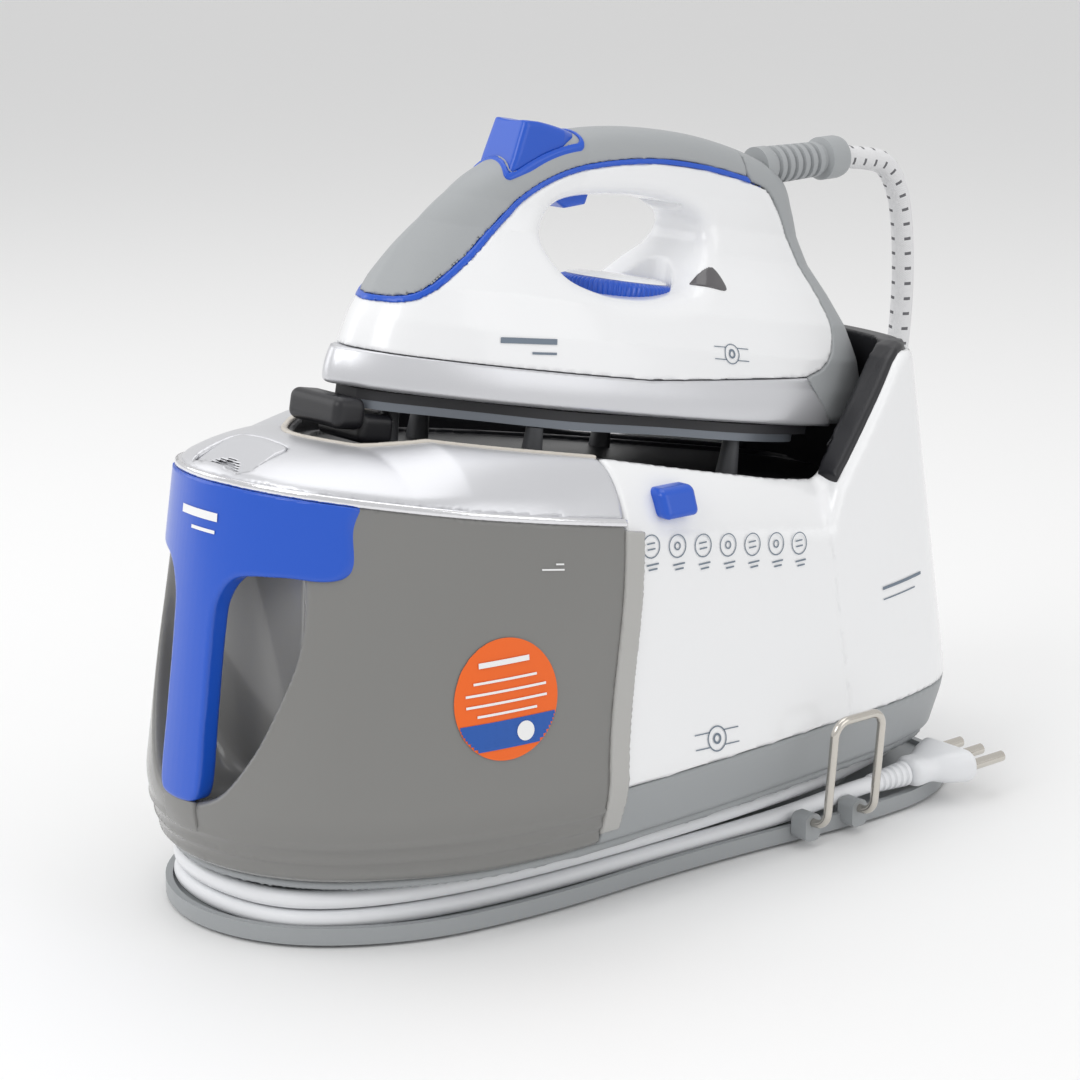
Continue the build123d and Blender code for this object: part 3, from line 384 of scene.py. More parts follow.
def sculpt(name, field, low, high, step, look, body, replaced=(), place=None):
    """Smooth mesh of field < 0 inside the box low..high, in mm; place turns its coordinates into the row frame."""
    step = step * 1.0
    axes = [np.arange(l, h + step, step, dtype=np.float32) for l, h in zip(low, high)]
    value = np.broadcast_to(
        field(axes[0][:, None, None], axes[1][None, :, None], axes[2][None, None, :]), [len(a) for a in axes]
    ).astype(np.float32).copy()
    value[[0, -1]] = np.maximum(value[[0, -1]], 0.01)
    value[:, [0, -1]] = np.maximum(value[:, [0, -1]], 0.01)
    value[:, :, [0, -1]] = np.maximum(value[:, :, [0, -1]], 0.01)
    inside = value < 0
    nx, ny, nz = (n - 1 for n in inside.shape)
    count = sum(inside[i: nx + i, j: ny + j, k: nz + k].astype(np.int8) for i, j, k in CORNERS)
    cells = np.argwhere((count > 0) & (count < 8))
    number = np.full(count.shape, -1, np.int64)
    number[tuple(cells.T)] = np.arange(len(cells))
    corner = np.stack([value[cells[:, 0] + i, cells[:, 1] + j, cells[:, 2] + k] for i, j, k in CORNERS], 1)
    total, hits = np.zeros((len(cells), 3)), np.zeros(len(cells))
    for a, b in EDGES:
        va, vb = corner[:, a], corner[:, b]
        cross = (va < 0) != (vb < 0)
        t = np.where(cross, va / np.where(cross, va - vb, 1), 0)
        point = np.array(CORNERS[a]) + t[:, None] * (np.array(CORNERS[b]) - np.array(CORNERS[a]))
        total += point * cross[:, None]
        hits += cross
    points = np.array([a[0] for a in axes]) + step * (cells + total / hits[:, None])
    for _ in range(NEWTON_STEPS):
        e = 0.15
        here = field(points[:, 0], points[:, 1], points[:, 2])
        slope = np.stack([
            (field(*(points + d).T) - field(*(points - d).T)) / (2 * e)
            for d in np.eye(3) * e
        ], 1)
        move = -here[:, None] * slope / np.maximum((slope ** 2).sum(1), 0.05)[:, None]
        size = np.linalg.norm(move, axis=1)
        move *= (np.minimum(size, 0.45 * step) / np.maximum(size, 1e-9))[:, None]
        points = np.clip(points + move, [a[0] for a in axes], [a[-1] for a in axes])
    faces = []
    for axis in range(3):
        u, v = (axis + 1) % 3, (axis + 2) % 3
        first = [slice(None)] * 3
        second = [slice(None)] * 3
        first[axis], second[axis] = slice(0, -1), slice(1, None)
        crossing = inside[tuple(first)] != inside[tuple(second)]
        at = np.argwhere(crossing)
        at = at[(at[:, u] > 0) & (at[:, v] > 0) & (at[:, u] < count.shape[u]) & (at[:, v] < count.shape[v])]
        corners = []
        for du, dv in ((-1, -1), (0, -1), (0, 0), (-1, 0)):
            q = at.copy()
            q[:, u] += du
            q[:, v] += dv
            corners.append(number[tuple(q.T)])
        quad = np.stack(corners, 1)
        flip = ~inside[tuple(at.T)]
        quad[flip] = quad[flip][:, ::-1]
        faces.append(quad)
    faces = np.vstack(faces)
    faces = faces[(faces >= 0).all(1)]
    if place:
        points = np.stack(np.broadcast_arrays(*place(*points.T)), 1)
    mesh = bpy.data.meshes.new(name)
    mesh.vertices.add(len(points))
    mesh.vertices.foreach_set("co", (points / 1000).astype(np.float32).ravel())
    mesh.loops.add(faces.size)
    mesh.loops.foreach_set("vertex_index", faces.astype(np.int32).ravel())
    mesh.polygons.add(len(faces))
    mesh.polygons.foreach_set("loop_start", np.arange(0, faces.size, 4, dtype=np.int32))
    mesh.polygons.foreach_set("use_smooth", np.ones(len(faces), bool))
    mesh.update(calc_edges=True)
    mesh.validate()
    return link(name, mesh, body, look, replaced)


# ---------------------------------------------------------------- the base's forms
base_plan = plane_field(both_sides(
    [(0, -203), (33, -196), (60, -178), (80, -150), (93, -120), (99, -85), (100, -58), (98.5, 0), (94, 70),
     (87, 135), (76, 165), (55, 184), (28, 193), (0, 196)]))
rest_plan = plane_field(both_sides(
    [(0, -12), (24, 0), (40, 20), (52, 44), (61, 76), (67, 110), (68, 160), (65, 200), (60, 232),
     (54, 270), (46, 300), (28, 312), (0, 316)]))
LEAN, UNDER = math.tan(math.radians(7.5)), math.tan(math.radians(16))
WAIST_Z = 52        # height of the widest line, between the grey band and the white shell
SPLIT_GAP = 0.3     # half the slit between the tank and the housing
SILL_W = -34        # floor of the rest's well, in the iron's frame


def walls(x, y, z):
    """Outer walls: leaning in above the waist and undercut below it."""
    inset = smax((z - WAIST_Z) * LEAN, (WAIST_Z - z) * UNDER, 3.0)
    return (base_plan(x, y) + inset) * 0.985


def split(z):
    """Where the tank ends and the housing starts."""
    return -50 + 12 * np.tanh((z - 105) / 45)


def rest_well(x, y, z):
    u, w = iron(y, z)
    return rest_plan(x, u)


def rim_w(u):
    """Height of the rest's rim in the iron's frame."""
    return -15.5 - 0.05 * np.clip(u - 95, 0, 100) - 5.5 * np.clip((22 - u) / 22, 0, 1)


def shoulder(x, y, z):
    """Rounded shoulder from the walls' top edge up to the rest's rim."""
    u, w = iron(y, z)
    edge = base_plan(x, y) + 14.5
    share = np.clip(-edge / np.maximum(-edge + np.maximum(rest_plan(x, u) + 0.001, 0.001), 1), 0, 1)
    top = -40 + (40 + rim_w(u)) * np.sin(share * math.pi / 2) ** 0.85
    return (w - top) * 0.72


tower_side = plane_field(np.array(
    [(84, 40), (84, 140), (90, 152), (97, 160), (118, 181), (138, 200), (144, 203.5), (150, 204.5), (215, 200),
     (215, 40)]))


def housing_top(x, y, z):
    return smin(shoulder(x, y, z), tower_side(y, z), 6.0)


def housing(x, y, z):
    """White shell: walls and tower, less the well for the rest, the panel's pocket and a crease."""
    body = smax(smax(walls(x, y, z), housing_top(x, y, z), 5.0), split(z) + SPLIT_GAP - y, 2.0)
    u, w = iron(y, z)
    well = np.maximum(rest_well(x, y, z) - 0.3, SILL_W - w)
    well = np.maximum(well, walls(x, y, z) + 3.4)
    behind = np.maximum(np.maximum(walls(x, y, z) + 3.4, 150 - y), np.maximum(SILL_W - w, rest_well(x, y, z) - 14))
    well = np.minimum(well, behind)
    body = smax(body, -well, 1.5)
    body = np.maximum(body, 52.2 - z)
    body = np.maximum(body, -rounded_box(x, y, z, (-100, 10, 112), (22, 42.2, 13.5), 6.0))
    crease = np.abs(y - 84 + (z - 105) * 0.06) - 0.6
    return np.maximum(body, -np.maximum(crease, -(walls(x, y, z) + 0.6)))


sculpt("housing_v", housing, (-103, -70, 50), (103, 201, 208), 1.5, white, "base", ["housing_shell"])


def lower(x, y, z):
    """Grey band under the waist. The field is 0 over the shelf, so that the band's underside meets it."""
    body = smax(walls(x, y, z), 28 - z, 3.0)
    over_shelf = np.maximum(base_plan(x, y) + 10, np.maximum(24.2 - z, z - 30))
    body = np.maximum(np.maximum(body, z - 51.7), split(z) + SPLIT_GAP - y)
    return np.minimum(body, np.maximum(over_shelf, 0))


sculpt("lower_housing_v", lower, (-103, -70, 26), (103, 201, 54), 1.4, grey_band, "base")


def shelf(x, y, z):
    return np.maximum(base_plan(x, y) + 10, np.maximum(24.1 - z, z - 27.9))


sculpt("shelf_v", shelf, (-100, -200, 22), (100, 190, 30), 1.6, grey_band, "base", ["lower_housing"])


# The tank: outer walls, hollow inside, with the finger recess, the foot lips and the flange over the housing.
recess_front = plane_field(smooth_line(
    [(0, 55), (20, 60), (34, 78), (43, 102), (48, 125), (50, 165), (40, 178), (-40, 178), (-50, 165), (-48, 125),
     (-43, 102), (-34, 78), (-20, 60)], closed=True))


def recess(x, y, z):
    return smax(recess_front(x, z), y + 168 + (z - 110) * 0.05, 10.0)


def lips(z):
    return 1.1 * sum(np.exp(-((z - h) / 1.3) ** 2) for h in (31.5, 38.0, 44.5))


def tank(x, y, z):
    """Smoked tank: outer walls less the finger recess, hollow inside."""
    u, w = iron(y, z)
    outer = smax(smax(walls(x, y, z) - 0.9 * lips(z), y - split(z) + SPLIT_GAP, 1.2), 28.3 - z, 2.5)
    outer = np.maximum(outer, w + 40.2)
    outer = smax(outer, -recess(x, y, z), 3.0)
    inner = smax(smax(walls(x, y, z) + 4.5, y - split(z) + 4.8, 3.0), 33 - z, 4.0)
    inner = smax(inner, -(recess(x, y, z) - 4.5), 3.0)
    return np.maximum(outer, -inner)


sculpt("tank_v", tank, (-103, -207, 26), (103, -34, 200), 1.4, smoked, "tank", ["tank_shell"])


def flange(x, y, z):
    band = np.maximum(y - split(z) - 9.0, split(z) - 1.0 - y)
    u, w = iron(y, z)
    skin = np.maximum(walls(x, y, z) - 1.2, -walls(x, y, z) - 2.0)
    return np.maximum(np.maximum(np.maximum(skin, band), w + 42), 34 - z)


sculpt("tank_flange_v", flange, (-104, -75, 30), (104, -24, 182), 1.0, flange_grey, "tank")


def lid(x, y, z):
    u, w = iron(y, z)
    body = smax(smax(walls(x, y, z) + 0.3, shoulder(x, y, z), 4.0), y - split(z) + SPLIT_GAP, 1.5)
    body = np.maximum(body, -38.2 - w)
    body = smax(body, -np.maximum(rest_plan(x, u) - 0.8, SILL_W - w), 1.2)
    return np.maximum(body, -np.maximum(flap_zone(x, u) - 0.35, -shoulder(x, y, z) - 3.2))


def flap_zone(x, u):
    q, r = np.abs(x) - 14.0, np.abs(u + 37.2) - 6.8
    return np.hypot(np.maximum(q, 0), np.maximum(r, 0)) + np.minimum(np.maximum(q, r), 0) - 4.0


def flap(x, y, z):
    u, w = iron(y, z)
    dome = np.sqrt((x / 1.5) ** 2 + (u + 31) ** 2 + ((w - (-26.5)) * 2.0) ** 2) - 5.2
    skin = np.maximum(np.minimum(shoulder(x, y, z), dome * 0.5), -shoulder(x, y, z) - 2.6)
    skin = np.maximum(skin, w + 36.7 - (u + 48) * 0.7)
    return smax(skin, flap_zone(x, u) + 0.35, 0.6)


sculpt("fill_flap_v", flap, (-20, -194, 172), (20, -152, 205), 0.6, silver, "flap", ["fill_flap"])
sculpt("lid_v", lid, (-95, -200, 145), (95, -36, 212), 1.3, silver, "tank", ["tank_lid"])


def lid_edge(x, y, z):
    u, w = iron(y, z)
    body = smax(walls(x, y, z) - 0.9, np.abs(w + 38.9) - 1.6, 1.2)
    return np.maximum(np.maximum(body, -walls(x, y, z) - 3), y - split(z) + SPLIT_GAP)


sculpt("lid_edge_v", lid_edge, (-95, -204, 145), (95, -36, 192), 0.75, chrome, "tank")


def lid_lining(x, y, z):
    u, w = iron(y, z)
    ring = np.maximum(np.abs(rest_plan(x, u) - 0.4) - 1.3, np.abs(w - rim_w(u) + 1.4) - 2.2)
    return np.maximum(ring, y - split(z) + SPLIT_GAP)


sculpt("lid_lining_v", lid_lining, (-75, -150, 165), (75, -36, 212), 0.8, cream, "tank")


def cradle(x, y, z):
    """Black cradle behind the iron's heel: follows the tower's inside and caps the cheeks' slanted edge."""
    u, w = iron(y, z)
    cap = smax(walls(x, y, z) + 2.8, tower_side(y, z) - 2.6, 3.5)
    cap = np.maximum(cap, -(walls(x, y, z) + 15.0))
    liner = np.maximum(rest_plan(x, u) + 0.4, 0)  # never inside: it only thickens the cap beside it
    liner = np.maximum(np.maximum(liner, -(rest_plan(x, u) + 4.5)), tower_side(y, z) - 2.0)
    cap = np.maximum(cap, 92 - y)
    shape = smin(np.maximum(cap, rest_plan(x, u) - 13.6), liner, 2.0)
    shape = np.maximum(shape, np.maximum(-30.0 - w, 60 - y))
    return np.maximum(shape, walls(x, y, z) + 3.2)


sculpt("cradle_v", cradle, (-85, 60, 130), (85, 196, 210), 1.2, black, "base", ["heel_cradle"])


def rest(x, y, z):
    u, w = iron(y, z)
    wall = np.maximum(rest_plan(x, u) + 0.3, -(rest_plan(x, u) + 3.4))
    wall = np.maximum(wall, w - rim_w(u) + 0.6)
    ledge = np.maximum(np.abs(rest_plan(x, u) + 9) - 1.6, w + 22.5)
    floor = np.maximum(rest_plan(x, u) + 0.3, w + 24.5)
    shape = np.minimum(np.minimum(wall, ledge), floor)
    return np.maximum(np.maximum(shape, -33.2 - w), walls(x, y, z) + 4)


sculpt("rest_v", lambda x, u, w: rest(x, *world(0, u, w)[1:]), (-70, -14, -35), (70, 318, -13), 1.2, black, "base",
       ["rest_tray"], place=world)

# ---------------------------------------------------------------- the iron's forms
TRIM_HALF = 1.1     # half the width of the blue line
REAR_GAP = 0.25     # slit in front of the rear cover
iron_plan = plane_field(both_sides(
    [(0, -1), (8.5, 3.5), (20, 14.5), (31, 32), (40, 54), (46, 78), (50.5, 103), (53, 130), (54.3, 158), (54, 188),
     (52.5, 214), (47, 245), (38, 272), (22, 292), (0, 298)]))
profile = plane_field(np.vstack([smooth_line(
    [(1, -8), (4, 8), (7, 16), (10, 28), (14, 38), (24, 57), (36, 73), (50, 85), (68, 97), (86, 107), (104, 113.5),
     (120, 117), (148, 120), (178, 120), (210, 116), (228, 111.5), (238, 106), (246, 95), (256, 76), (275, 49),
     (286, 32), (290, 21), (289, 12), (284, 2)]), [(284, -8)]]))
grip_gap = plane_field(smooth_line(
    [(88, 66), (90, 75), (98, 83), (112, 87.5), (130, 90), (148, 90.8), (163, 89.5), (177, 84), (179, 76), (172, 66),
     (164, 55), (148, 50), (130, 48), (112, 49), (95, 55)], closed=True))
INSET_W = [-10, 0, 16, 30, 45, 58, 70, 82, 95, 125]
INSET = [-1, 0, 2.2, 5.5, 12, 21, 30.5, 35.5, 37, 38]
trim_line = smooth_line(
    [(-6, 38), (8, 36.6), (16, 36.8), (23, 38.6), (31, 43.5), (47, 57), (63, 71.5), (80, 86), (97, 95.5), (118, 102),
     (146, 106.5), (172, 107), (202, 104.5), (230, 100)])
cover_zone = plane_field(np.vstack([trim_line, [(230, 150), (-30, 150), (-30, 38)]]))
rear_line = smooth_line(
    [(197, 140), (200, 120), (203.5, 105), (216, 101.5), (226, 94), (236, 80), (247, 59), (251.5, 46), (249, 35),
     (240, 27), (226, 22)])
rear_zone = plane_field(np.vstack([rear_line, [(234, 14), (247, 2), (250, -12), (330, -12), (330, 140)]]))


def seam_w(u):
    return 16 + np.maximum(u - 130, 0) * 0.0625


def iron_body(x, u, w):
    """The iron's whole outside, less the grip's gap; the pieces below cut it up."""
    inset = np.interp(np.asarray(w, float), INSET_W, INSET)
    inset = inset * np.interp(np.asarray(u, float), [0, 60, 110], [0.74, 0.78, 1])
    body = smax((iron_plan(x, u) + inset) * 0.9, profile(u, w), 13.0)
    return smax(body, -grip_gap(u, w), 9.0)


def handle_cover(x, u, w):
    return np.maximum(np.maximum(iron_body(x, u, w), cover_zone(u, w) + TRIM_HALF), -rear_zone(u, w) + REAR_GAP)


def blue_trim(x, u, w):
    band = np.abs(cover_zone(u, w)) - TRIM_HALF
    skin = np.maximum(iron_body(x, u, w) - 0.35, -iron_body(x, u, w) - 3)
    return np.maximum(np.maximum(skin, band), -rear_zone(u, w) + REAR_GAP)


def shell(x, u, w):
    body = np.maximum(iron_body(x, u, w), -cover_zone(u, w) + TRIM_HALF)
    dial = np.maximum(np.hypot(x, u - 148) - 24, 45 - w)
    body = smax(body, -np.maximum(dial, w - 90), 0.6)
    return np.maximum(np.maximum(body, -rear_zone(u, w) + REAR_GAP), seam_w(u) + 0.3 - w)


def rear_cover(x, u, w):
    body = np.maximum(iron_body(x, u, w), rear_zone(u, w) + 0.2)
    return smax(body, 1.5 - w, 4.0)


def skirt(x, u, w):
    bulge = 1.1 * np.clip(1 - ((w - 9) / 8) ** 2, 0, 1)
    body = smax(iron_plan(x, u) + 0.13 * w - bulge, 0.8 - w, 2.5)
    body = np.maximum(body, w - seam_w(u) + 0.2)
    return np.maximum(np.maximum(body, -rear_zone(u, w) + REAR_GAP), -iron_plan(x, u) - 12)


sculpt("handle_cover_v", handle_cover, (-40, -6, 30), (40, 212, 124), 1.1, soft_grey, "iron", ["handle_cover"], world)
sculpt("blue_trim_v", blue_trim, (-46, -6, 30), (46, 212, 112), 0.7, blue, "iron", ["blue_trim"], world)
sculpt("iron_shell_v", shell, (-58, -4, 14), (58, 256, 112), 1.2, white, "iron", ["iron_shell"], world)
sculpt("rear_cover_v", rear_cover, (-56, 195, 0), (56, 302, 124), 1.2, soft_grey, "iron", ["rear_cover"], world)
sculpt("skirt_v", skirt, (-58, -6, -2), (58, 252, 26), 0.9, silver, "iron", ["skirt"], world)


button_side = plane_field(np.array(
    [(70.8, 92), (76.5, 116), (84, 116.5), (96, 114.8), (105.5, 113.5), (107, 108), (106, 103.5)]))


def button_form(x, u, w):
    width = np.abs(x) - 11.5 + np.maximum(w - 100, 0) * 0.05 + np.maximum(u - 98, 0) * 0.35
    dish = w - (115.2 + ((x / 11) ** 2) * 1.3)
    return smax(smax(width, button_side(u, w), 3.0), dish, 1.0)


sculpt("steam_button_v", button_form, (-15, 66, 88), (15, 112, 121), 0.6, blue, "steam_button", ["steam_button"], world)


trigger_side = plane_field(np.array([(104, 92), (101, 84), (108, 80.6), (120, 83.6), (122, 92), (121, 95)]))
sculpt("steam_trigger_v", lambda x, u, w: smax(np.abs(x) - 6.5, trigger_side(u, w) + 1, 2.0),
       (-9, 98, 78), (9, 126, 98), 0.6, blue, "trigger", ["steam_trigger"], world)


def button_rim(x, u, w):
    edge = smax(np.abs(x) - 12.3, button_side(u, w) - 1.7, 3.0)
    return np.maximum(np.abs(edge) - 0.7, np.abs(iron_body(x, u, w)) - 0.5)


sculpt("button_rim_v", button_rim, (-17, 64, 88), (17, 114, 121), 0.5, blue, "iron", (), world)
lens_side = plane_field(smooth_line(
    [(156.5, 57), (160, 62), (166, 66.5), (172, 67.5), (178, 65), (181.5, 59), (181.5, 56), (170, 56.4)], closed=True))


def lens(x, u, w):
    skin = smax(iron_body(x, u, w) - 0.4, lens_side(u, w), 0.8)
    return np.maximum(np.maximum(skin, -iron_body(x, u, w) - 2.5), 27 - x)


sculpt("signal_lens_v", lens, (-44, 152, 52), (44, 186, 71), 0.5, lens_grey, "iron", ["signal_lens"], world)


def lathe(name, stations, origin, axis, look, body, replaced=(), segments=96, ribs=0, rib_depth=0.0):
    """Turned piece: stations are (distance along the axis, radius, share of ribbing) in mm."""
    z_axis = Vector(axis).normalized()
    x_axis = Vector((1, 0, 0)) if abs(z_axis.x) < 0.9 else Vector((0, 0, 1))
    y_axis = z_axis.cross(x_axis).normalized()
    x_axis = y_axis.cross(z_axis)
    verts, faces = [], []
    for d, r, share in stations:
        for i in range(segments):
            a = 2 * math.pi * i / segments
            rr = r - share * rib_depth * (0.5 + 0.5 * math.cos(ribs * a))
            p = Vector(origin) + z_axis * d + x_axis * rr * math.cos(a) + y_axis * rr * math.sin(a)
            verts.append(tuple(p / 1000))
    for k in range(len(stations) - 1):
        for i in range(segments):
            j = (i + 1) % segments
            faces.append((k * segments + i, k * segments + j, (k + 1) * segments + j, (k + 1) * segments + i))
    faces.append(tuple(range(segments))[::-1])
    faces.append(tuple(len(verts) - segments + i for i in range(segments)))
    mesh = bpy.data.meshes.new(name)
    mesh.from_pydata(verts, [], faces)
    for polygon in mesh.polygons:
        polygon.use_smooth = len(polygon.vertices) == 4
    o = link(name, mesh, body, look, replaced)
    edge = o.modifiers.new("edge", "EDGE_SPLIT")
    edge.split_angle = math.radians(50)
    return o


up = (0, S, C)
dial_at = world(0, 148, 45.8)
lathe("dial_v", [(0, 23, 0), (0, 25.2, 0), (0.8, 26, 1), (6.6, 26, 1), (7.8, 24.6, 1), (8.6, 22.5, 0), (8.6, 20, 0)],
      dial_at, up, blue, "dial", ["temperature_dial"], 432, 72, 0.9)
lathe("dial_cap_v", [(8.7, 22.2, 0), (9.6, 21.4, 0), (10.4, 17, 0), (10.8, 6, 0)], dial_at, up, white, "dial",
    ["dial_cap"])

relief_to = Vector(world(0, 274, 121))
relief_from = Vector(world(0, 222, 110.5))
relief_axis = (relief_to - relief_from).normalized()
stations = [(0, 9.0, 0), (6, 9.0, 0)]
for k in range(6):
    r = 8.6 - 0.12 * k
    at = 9 + 5.0 * k
    stations += [(at, r - 1.5, 0), (at + 0.6, r, 0), (at + 3.2, r, 0), (at + 3.8, r - 1.5, 0)]
full = (relief_to - relief_from).length
stations += [(full - 13, 7.0, 0), (full - 12, 9.8, 0), (full - 3, 9.8, 0), (full - 0.6, 9.2, 0), (full, 7.5, 0)]
lathe("hose_relief_v", stations, relief_from, relief_axis, soft_grey, "iron", ["hose_relief"])

# ---------------------------------------------------------------- small pieces
handle_front = plane_field(smooth_line(
    [(-58, 151), (-58, 170), (-58, 196), (0, 200), (58, 196), (58, 170), (58, 151), (40, 150.5), (22, 148), (14.5, 138),
     (13, 122), (13, 90), (12.6, 60), (10, 57), (-10, 57), (-12.6, 60), (-13, 90), (-13, 122), (-14.5, 138), (-22, 148),
     (-40, 150.5)], closed=True))


def tank_bar(x, y, z):
    u, w = iron(y, z)
    skin = smax(walls(x, y, z) - 1.6, -(walls(x, y, z) + 6.5), 2.0)
    body = smax(skin, handle_front(x, z), 1.5)
    return np.maximum(np.maximum(body, w + 40.5), y + 90)


sculpt("tank_handle_v", tank_bar, (-61, -206, 54), (61, -120, 190), 1.0, blue, "tank", ["tank_handle"])


def tank_tab(x, y, z):
    tab = rounded_box(x, y, z, (0, -199, 50), (11, 8, 6.5), 1.5)
    return np.maximum(tab, np.abs(walls(x, y, z)) - 1.0)


sculpt("tank_tab_v", tank_tab, (-14, -209, 42), (14, -190, 59), 0.7, smoked, "tank")


sculpt("nose_lock_v", lambda x, u, w: rounded_box(x, u, w, (0, 1.5, -9.6), (17.5, 7.6, 6.4), 3.8),
       (-22, -13, -22), (22, 11, -1), 0.8, black, "nose_lock", ["nose_lock"], world)
sculpt("nose_lock_back_v", lambda x, u, w: rounded_box(x, u, w, (0, 17, -15.5), (15.5, 8.5, 6.0), 3.0),
       (-20, 5, -25), (20, 29, -7), 0.8, black, "nose_lock", (), world)


def slider(x, y, z):
    lean = (x - 83.0) - (163 - z) * 0.35
    return rounded_box(lean, y, z, (0, -12, 163.5), (5.0, 9.5, 6.2), 3.0)


sculpt("lock_slider_v", slider, (72, -26, 152), (96, 2, 174), 0.6, blue, "slider", ["lock_slider"])


def snap(points, field, lift=0.35):
    """Points moved on to the surface of a field, lifted a little off it."""
    p = np.array(points, float)
    for _ in range(6):
        e = 0.3
        here = field(*p.T) - lift
        slope = np.stack([(field(*(p + d).T) - field(*(p - d).T)) / (2 * e) for d in np.eye(3) * e], 1)
        p -= here[:, None] * slope / np.maximum((slope ** 2).sum(1), 0.1)[:, None]
    return p


def decal(name, shapes, centre, across, upward, field, look, body, place=None, lift=0.35):
    """Printed mark laid on a surface; shapes in mm: ("ring", x, y, inner, outer), ("bar", x0, y0, x1, y1, width)."""
    verts, faces = [], []
    for kind, *v in shapes:
        if kind == "ring":
            x, y, inner, outer = v
            n = max(24, int(outer * 6))
            rows = max(2, int((outer - inner) / 1.5) + 1)
            radii = [inner + (outer - inner) * j / rows for j in range(rows + 1)]
            turns = [2 * math.pi * i / n for i in range(n + 1)]
            grid = [[(x + r * math.cos(t), y + r * math.sin(t)) for t in turns] for r in radii]
        else:
            x0, y0, x1, y1, width = v
            length = math.hypot(x1 - x0, y1 - y0)
            n = max(2, int(length / 1.5))
            dx, dy = (x1 - x0) / length, (y1 - y0) / length
            rows = max(1, int(width / 1.5))
            grid = [[(x0 + dx * length * i / n - dy * width * (j / rows - 0.5),
                      y0 + dy * length * i / n + dx * width * (j / rows - 0.5))
                     for i in range(n + 1)] for j in range(rows + 1)]
        start, columns = len(verts), len(grid[0])
        verts += [p for row in grid for p in row]
        for j in range(len(grid) - 1):
            for i in range(columns - 1):
                a = start + j * columns + i
                faces.append((a, a + 1, a + columns + 1, a + columns))
    flat = np.array(verts)
    points = np.array(centre, float) + flat[:, :1] * np.array(across, float) + flat[:, 1:] * np.array(upward, float)
    points = snap(points, field, lift)
    if place:
        points = np.stack(np.broadcast_arrays(*place(*points.T)), 1)
    mesh = bpy.data.meshes.new(name)
    mesh.from_pydata([tuple(p / 1000) for p in points], [], faces)
    for polygon in mesh.polygons:
        polygon.use_smooth = True
    return link(name, mesh, body, look)


for k in range(7):
    y = -28 + 14.8 * k
    z = 148 - 2.2 * k
    two_bars = [("bar", -2.2, -1.2, 2.2, -1.2, 0.6), ("bar", -2.2, 1.2, 2.2, 1.2, 0.6)]
    caption = [("bar", -3.4, -7.6, 3.4, -7.6, 0.7), ("bar", -2.4, -9.6, 2.4, -9.6, 0.7)]
    shapes = [("ring", 0, 0, 4.5, 5.0)] + ([("ring", 0, 0, 1.2, 1.8)] if k % 2 else two_bars) + caption
    decal("mark_icon_%d_v" % k, shapes, (90, y, z), (0, 1, 0), (0, 0, 1), walls, mark_grey, "base")
pill = [("bar", -13, 3.2, -4, 3.2, 0.5), ("bar", -13, -3.2, -4, -3.2, 0.5), ("bar", 4, 3.2, 13, 3.2, 0.5),
        ("bar", 4, -3.2, 13, -3.2, 0.5), ("ring", 0, 0, 5.0, 5.6), ("ring", 0, 0, 1.4, 2.4)]
decal("mark_side_v", pill, (97, 1, 62), (0, 1, -0.05), (0, 0, 1), walls, mark_grey, "base")
decal("mark_rear_v", [("bar", -17, 0, 17, 0, 1.4), ("bar", -17, -5, 10, -5, 0.6)], (90, 132, 106), (0, 1, 0.05),
    (0, 0, 1), walls, mark_grey, "base")
decal("mark_level_v", [("bar", -6, 0, 5, 0, 0.7), ("bar", 1, 2.2, 5, 2.2, 0.7)], (90, -80, 147), (0, 1, -0.15),
    (0, 0, 1), walls, mark_white, "tank", lift=0.4)
STICKER_AT = (95, -108, 100)
decal("sticker_v", [("ring", 0, 0, 0.01, 24.5)], STICKER_AT, (0, 1, 0), (0, 0, 1), walls, orange, "tank", lift=0.5)
band_halves = (22.3, 21.7, 21, 20, 19, 17.7, 16.2, 14.4)
bands = [("bar", -s, -9 - 1.4 * i, s, -9 - 1.4 * i, 1.5) for i, s in enumerate(band_halves)]
decal("sticker_band_v", bands, STICKER_AT, (0, 1, 0), (0, 0, 1), walls, sticker_blue, "tank", lift=0.75)
lines = [("bar", -12, 15, 12, 15, 2.2), ("bar", -15, 8, 15, 8, 1.0), ("bar", -19, 3.5, 19, 3.5, 1.0),
    ("bar", -19, -1, 19, -1, 1.0), ("bar", -14, -5.2, 14, -5.2, 1.0)]
decal("sticker_lines_v", lines + [("ring", 8, -14, 0.01, 4.0)], STICKER_AT, (0, 1, 0), (0, 0, 1), walls, mark_white,
    "tank", lift=0.95)
decal("mark_iron_v", [(k, *[t * 0.8 for t in v]) for k, *v in pill], (46, 176, 29), (0, 1, 0), (0, 0, 1), iron_body,
    mark_grey, "iron", world, 0.3)
decal("mark_nose_v", [("bar", -16, 0, 12, 0, 2.4), ("bar", 0, -5, 12, -5, 1.0)], (43, 70, 28), (-0.1, 1, 0), (0, 0, 1),
    iron_body, mark_grey, "iron", world, 0.3)
decal("mark_handle_v", [("bar", -14, 0, 14, 0, 3.4), ("bar", -4, -6, 13, -6, 1.4)], (0, -198, 172),
      (1, 0, 0), (0, 0, 1), lambda x, y, z: walls(x, y, z) - 1.6, mark_white, "tank")

# The cord wound round the foot and its plug.
plug_from = Vector((86.8, 106.0, 15.6))
plug_axis = (plug_from - Vector((86, 88, 15.0))).normalized()
side = Vector((1, 0, 0))
side = (side - plug_axis * side.dot(plug_axis)).normalized()
rise = plug_axis.cross(side) * -1


def plug_place(a, b, c):
    """Plug coordinates (across, up, along) to the row frame, in mm."""
    return tuple(plug_from[i] + a * side[i] + b * rise[i] + c * plug_axis[i] for i in range(3))


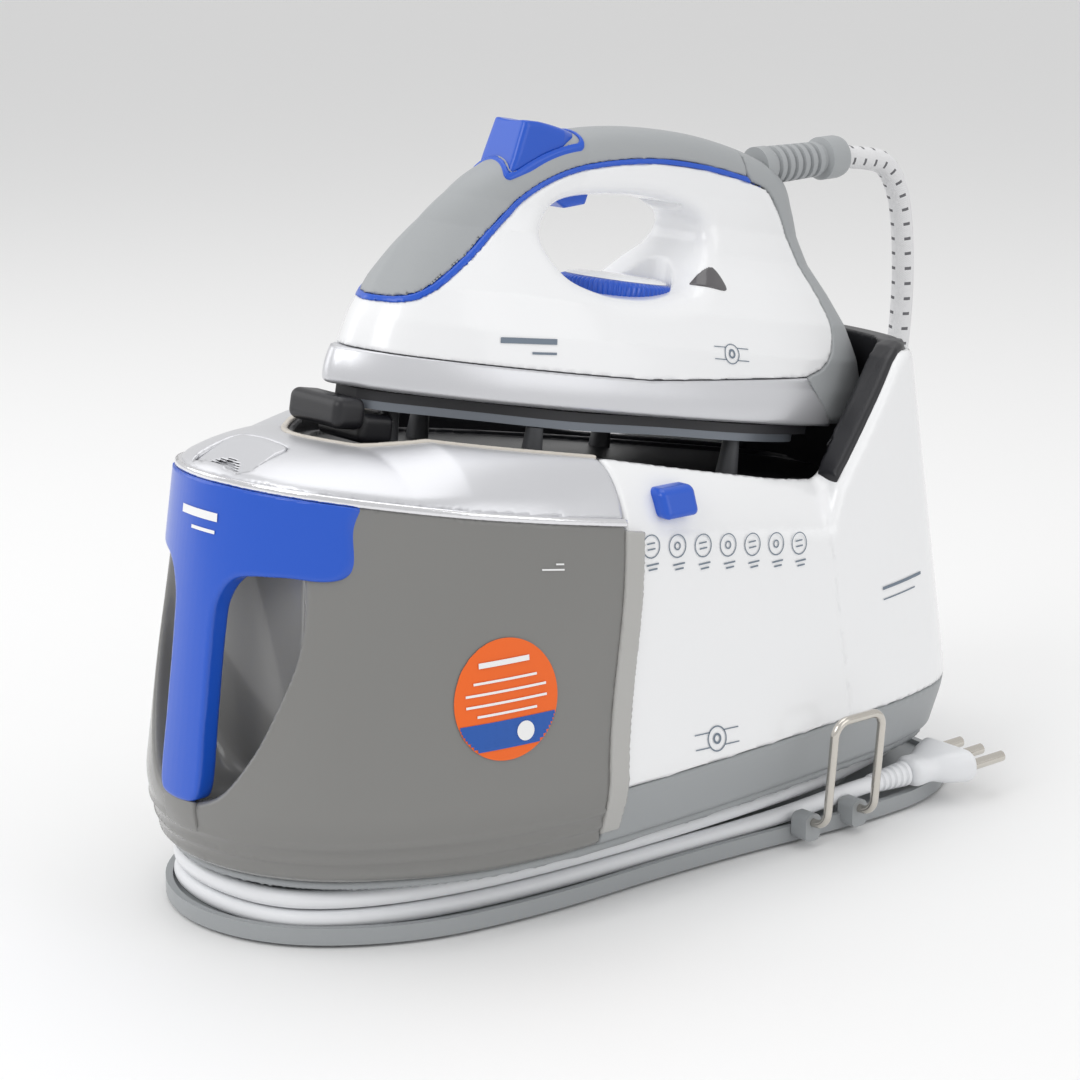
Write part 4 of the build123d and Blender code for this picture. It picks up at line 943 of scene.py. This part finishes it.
def plug_form(a, b, c):
    t = np.clip((c - 22) / 30, 0, 1)
    half = 8.2 + 10 * t ** 1.3
    tall = 6.4 + 1.4 * t
    body = smax(smax(np.abs(a) - half, np.abs(b) - tall, 7.0), np.maximum(22.2 - c, c - 52), 4.0)
    waist = 1.2 * np.exp(-((c - 33) / 5) ** 2)
    return body + waist


sculpt("plug_body_v", plug_form, (-20, -10, 20), (20, 10, 54), 0.8, pvc, "base", ["plug_body"], plug_place)
stations = [(0, 4.0, 0), (1, 4.4, 0)]
for k in range(6):
    at, r = 2 + 3.4 * k, 4.5 + 0.25 * k
    stations += [(at, r - 0.8, 0), (at + 0.4, r, 0), (at + 2.2, r, 0), (at + 2.6, r - 0.8, 0)]
lathe("plug_relief_v", stations, plug_from, plug_axis, pvc, "base", ["plug_relief"], 48)

# ---------------------------------------------------------------- looks of the CAD pieces that show
LOOKS = {
    "base_tray": grey_band, "rubber_feet": rubber, "rest_pegs": peg_grey, "cord_bail": nickel,
    "tank_valve": black, "tank_coupling": black, "boiler": steel, "boiler_brackets": steel, "boiler_heater": steel,
    "boiler_thermostat": black, "safety_valve": brass, "solenoid_valve": brass, "pump": dark, "circuit_board": board,
    "steam_pipe": pvc, "soleplate": sole, "heat_shield": dark, "iron_heater": steel, "steam_chamber": steel,
    "iron_thermostat": brass, "dial_shaft": steel, "steam_trigger": blue, "trigger_pin": steel, "button_spring": steel,
    "microswitch": black, "control_panel": grey_band, "power_button": white, "steam_level_button": blue,
    "status_lights": frost, "button_board": board, "mains_gland": pvc, "plug_pins": nickel, "hose_gland": soft_grey,
}
for node, look in LOOKS.items():
    o = frame["nodes"][node]
    o.data.materials.clear()
    o.data.materials.append(look)

# ---------------------------------------------------------------- floor and light
bpy.ops.mesh.primitive_plane_add(size=60, location=(0, 0, 0))
floor = bpy.context.object
floor.name = "floor"
floor.data.materials.append(floor_white)


def light(name, place, size, power, target=(0, 0, 0.12)):
    """Area light in metres and watts, turned to the object."""
    data = bpy.data.lights.new(name, "AREA")
    data.size, data.energy = size, power
    o = bpy.data.objects.new(name, data)
    o.location = place
    o.rotation_euler = (Vector(target) - Vector(place)).to_track_quat("-Z", "Y").to_euler()
    bpy.context.scene.collection.objects.link(o)


light("key", (0.2, -1.6, 1.4), 1.0, 9)
light("right", (1.6, 0.6, 0.9), 1.2, 4)
light("top", (-0.3, 0.2, 1.9), 1.6, 9)
light("left", (-1.4, -0.9, 0.8), 1.2, 5)
sky = bpy.data.worlds.new("sky")
bpy.context.scene.world = sky
sky.use_nodes = True
sky.node_tree.nodes["Background"].inputs["Color"].default_value = (1, 1, 1, 1)
sky.node_tree.nodes["Background"].inputs["Strength"].default_value = 0.72
bpy.context.scene.view_settings.view_transform = "Standard"
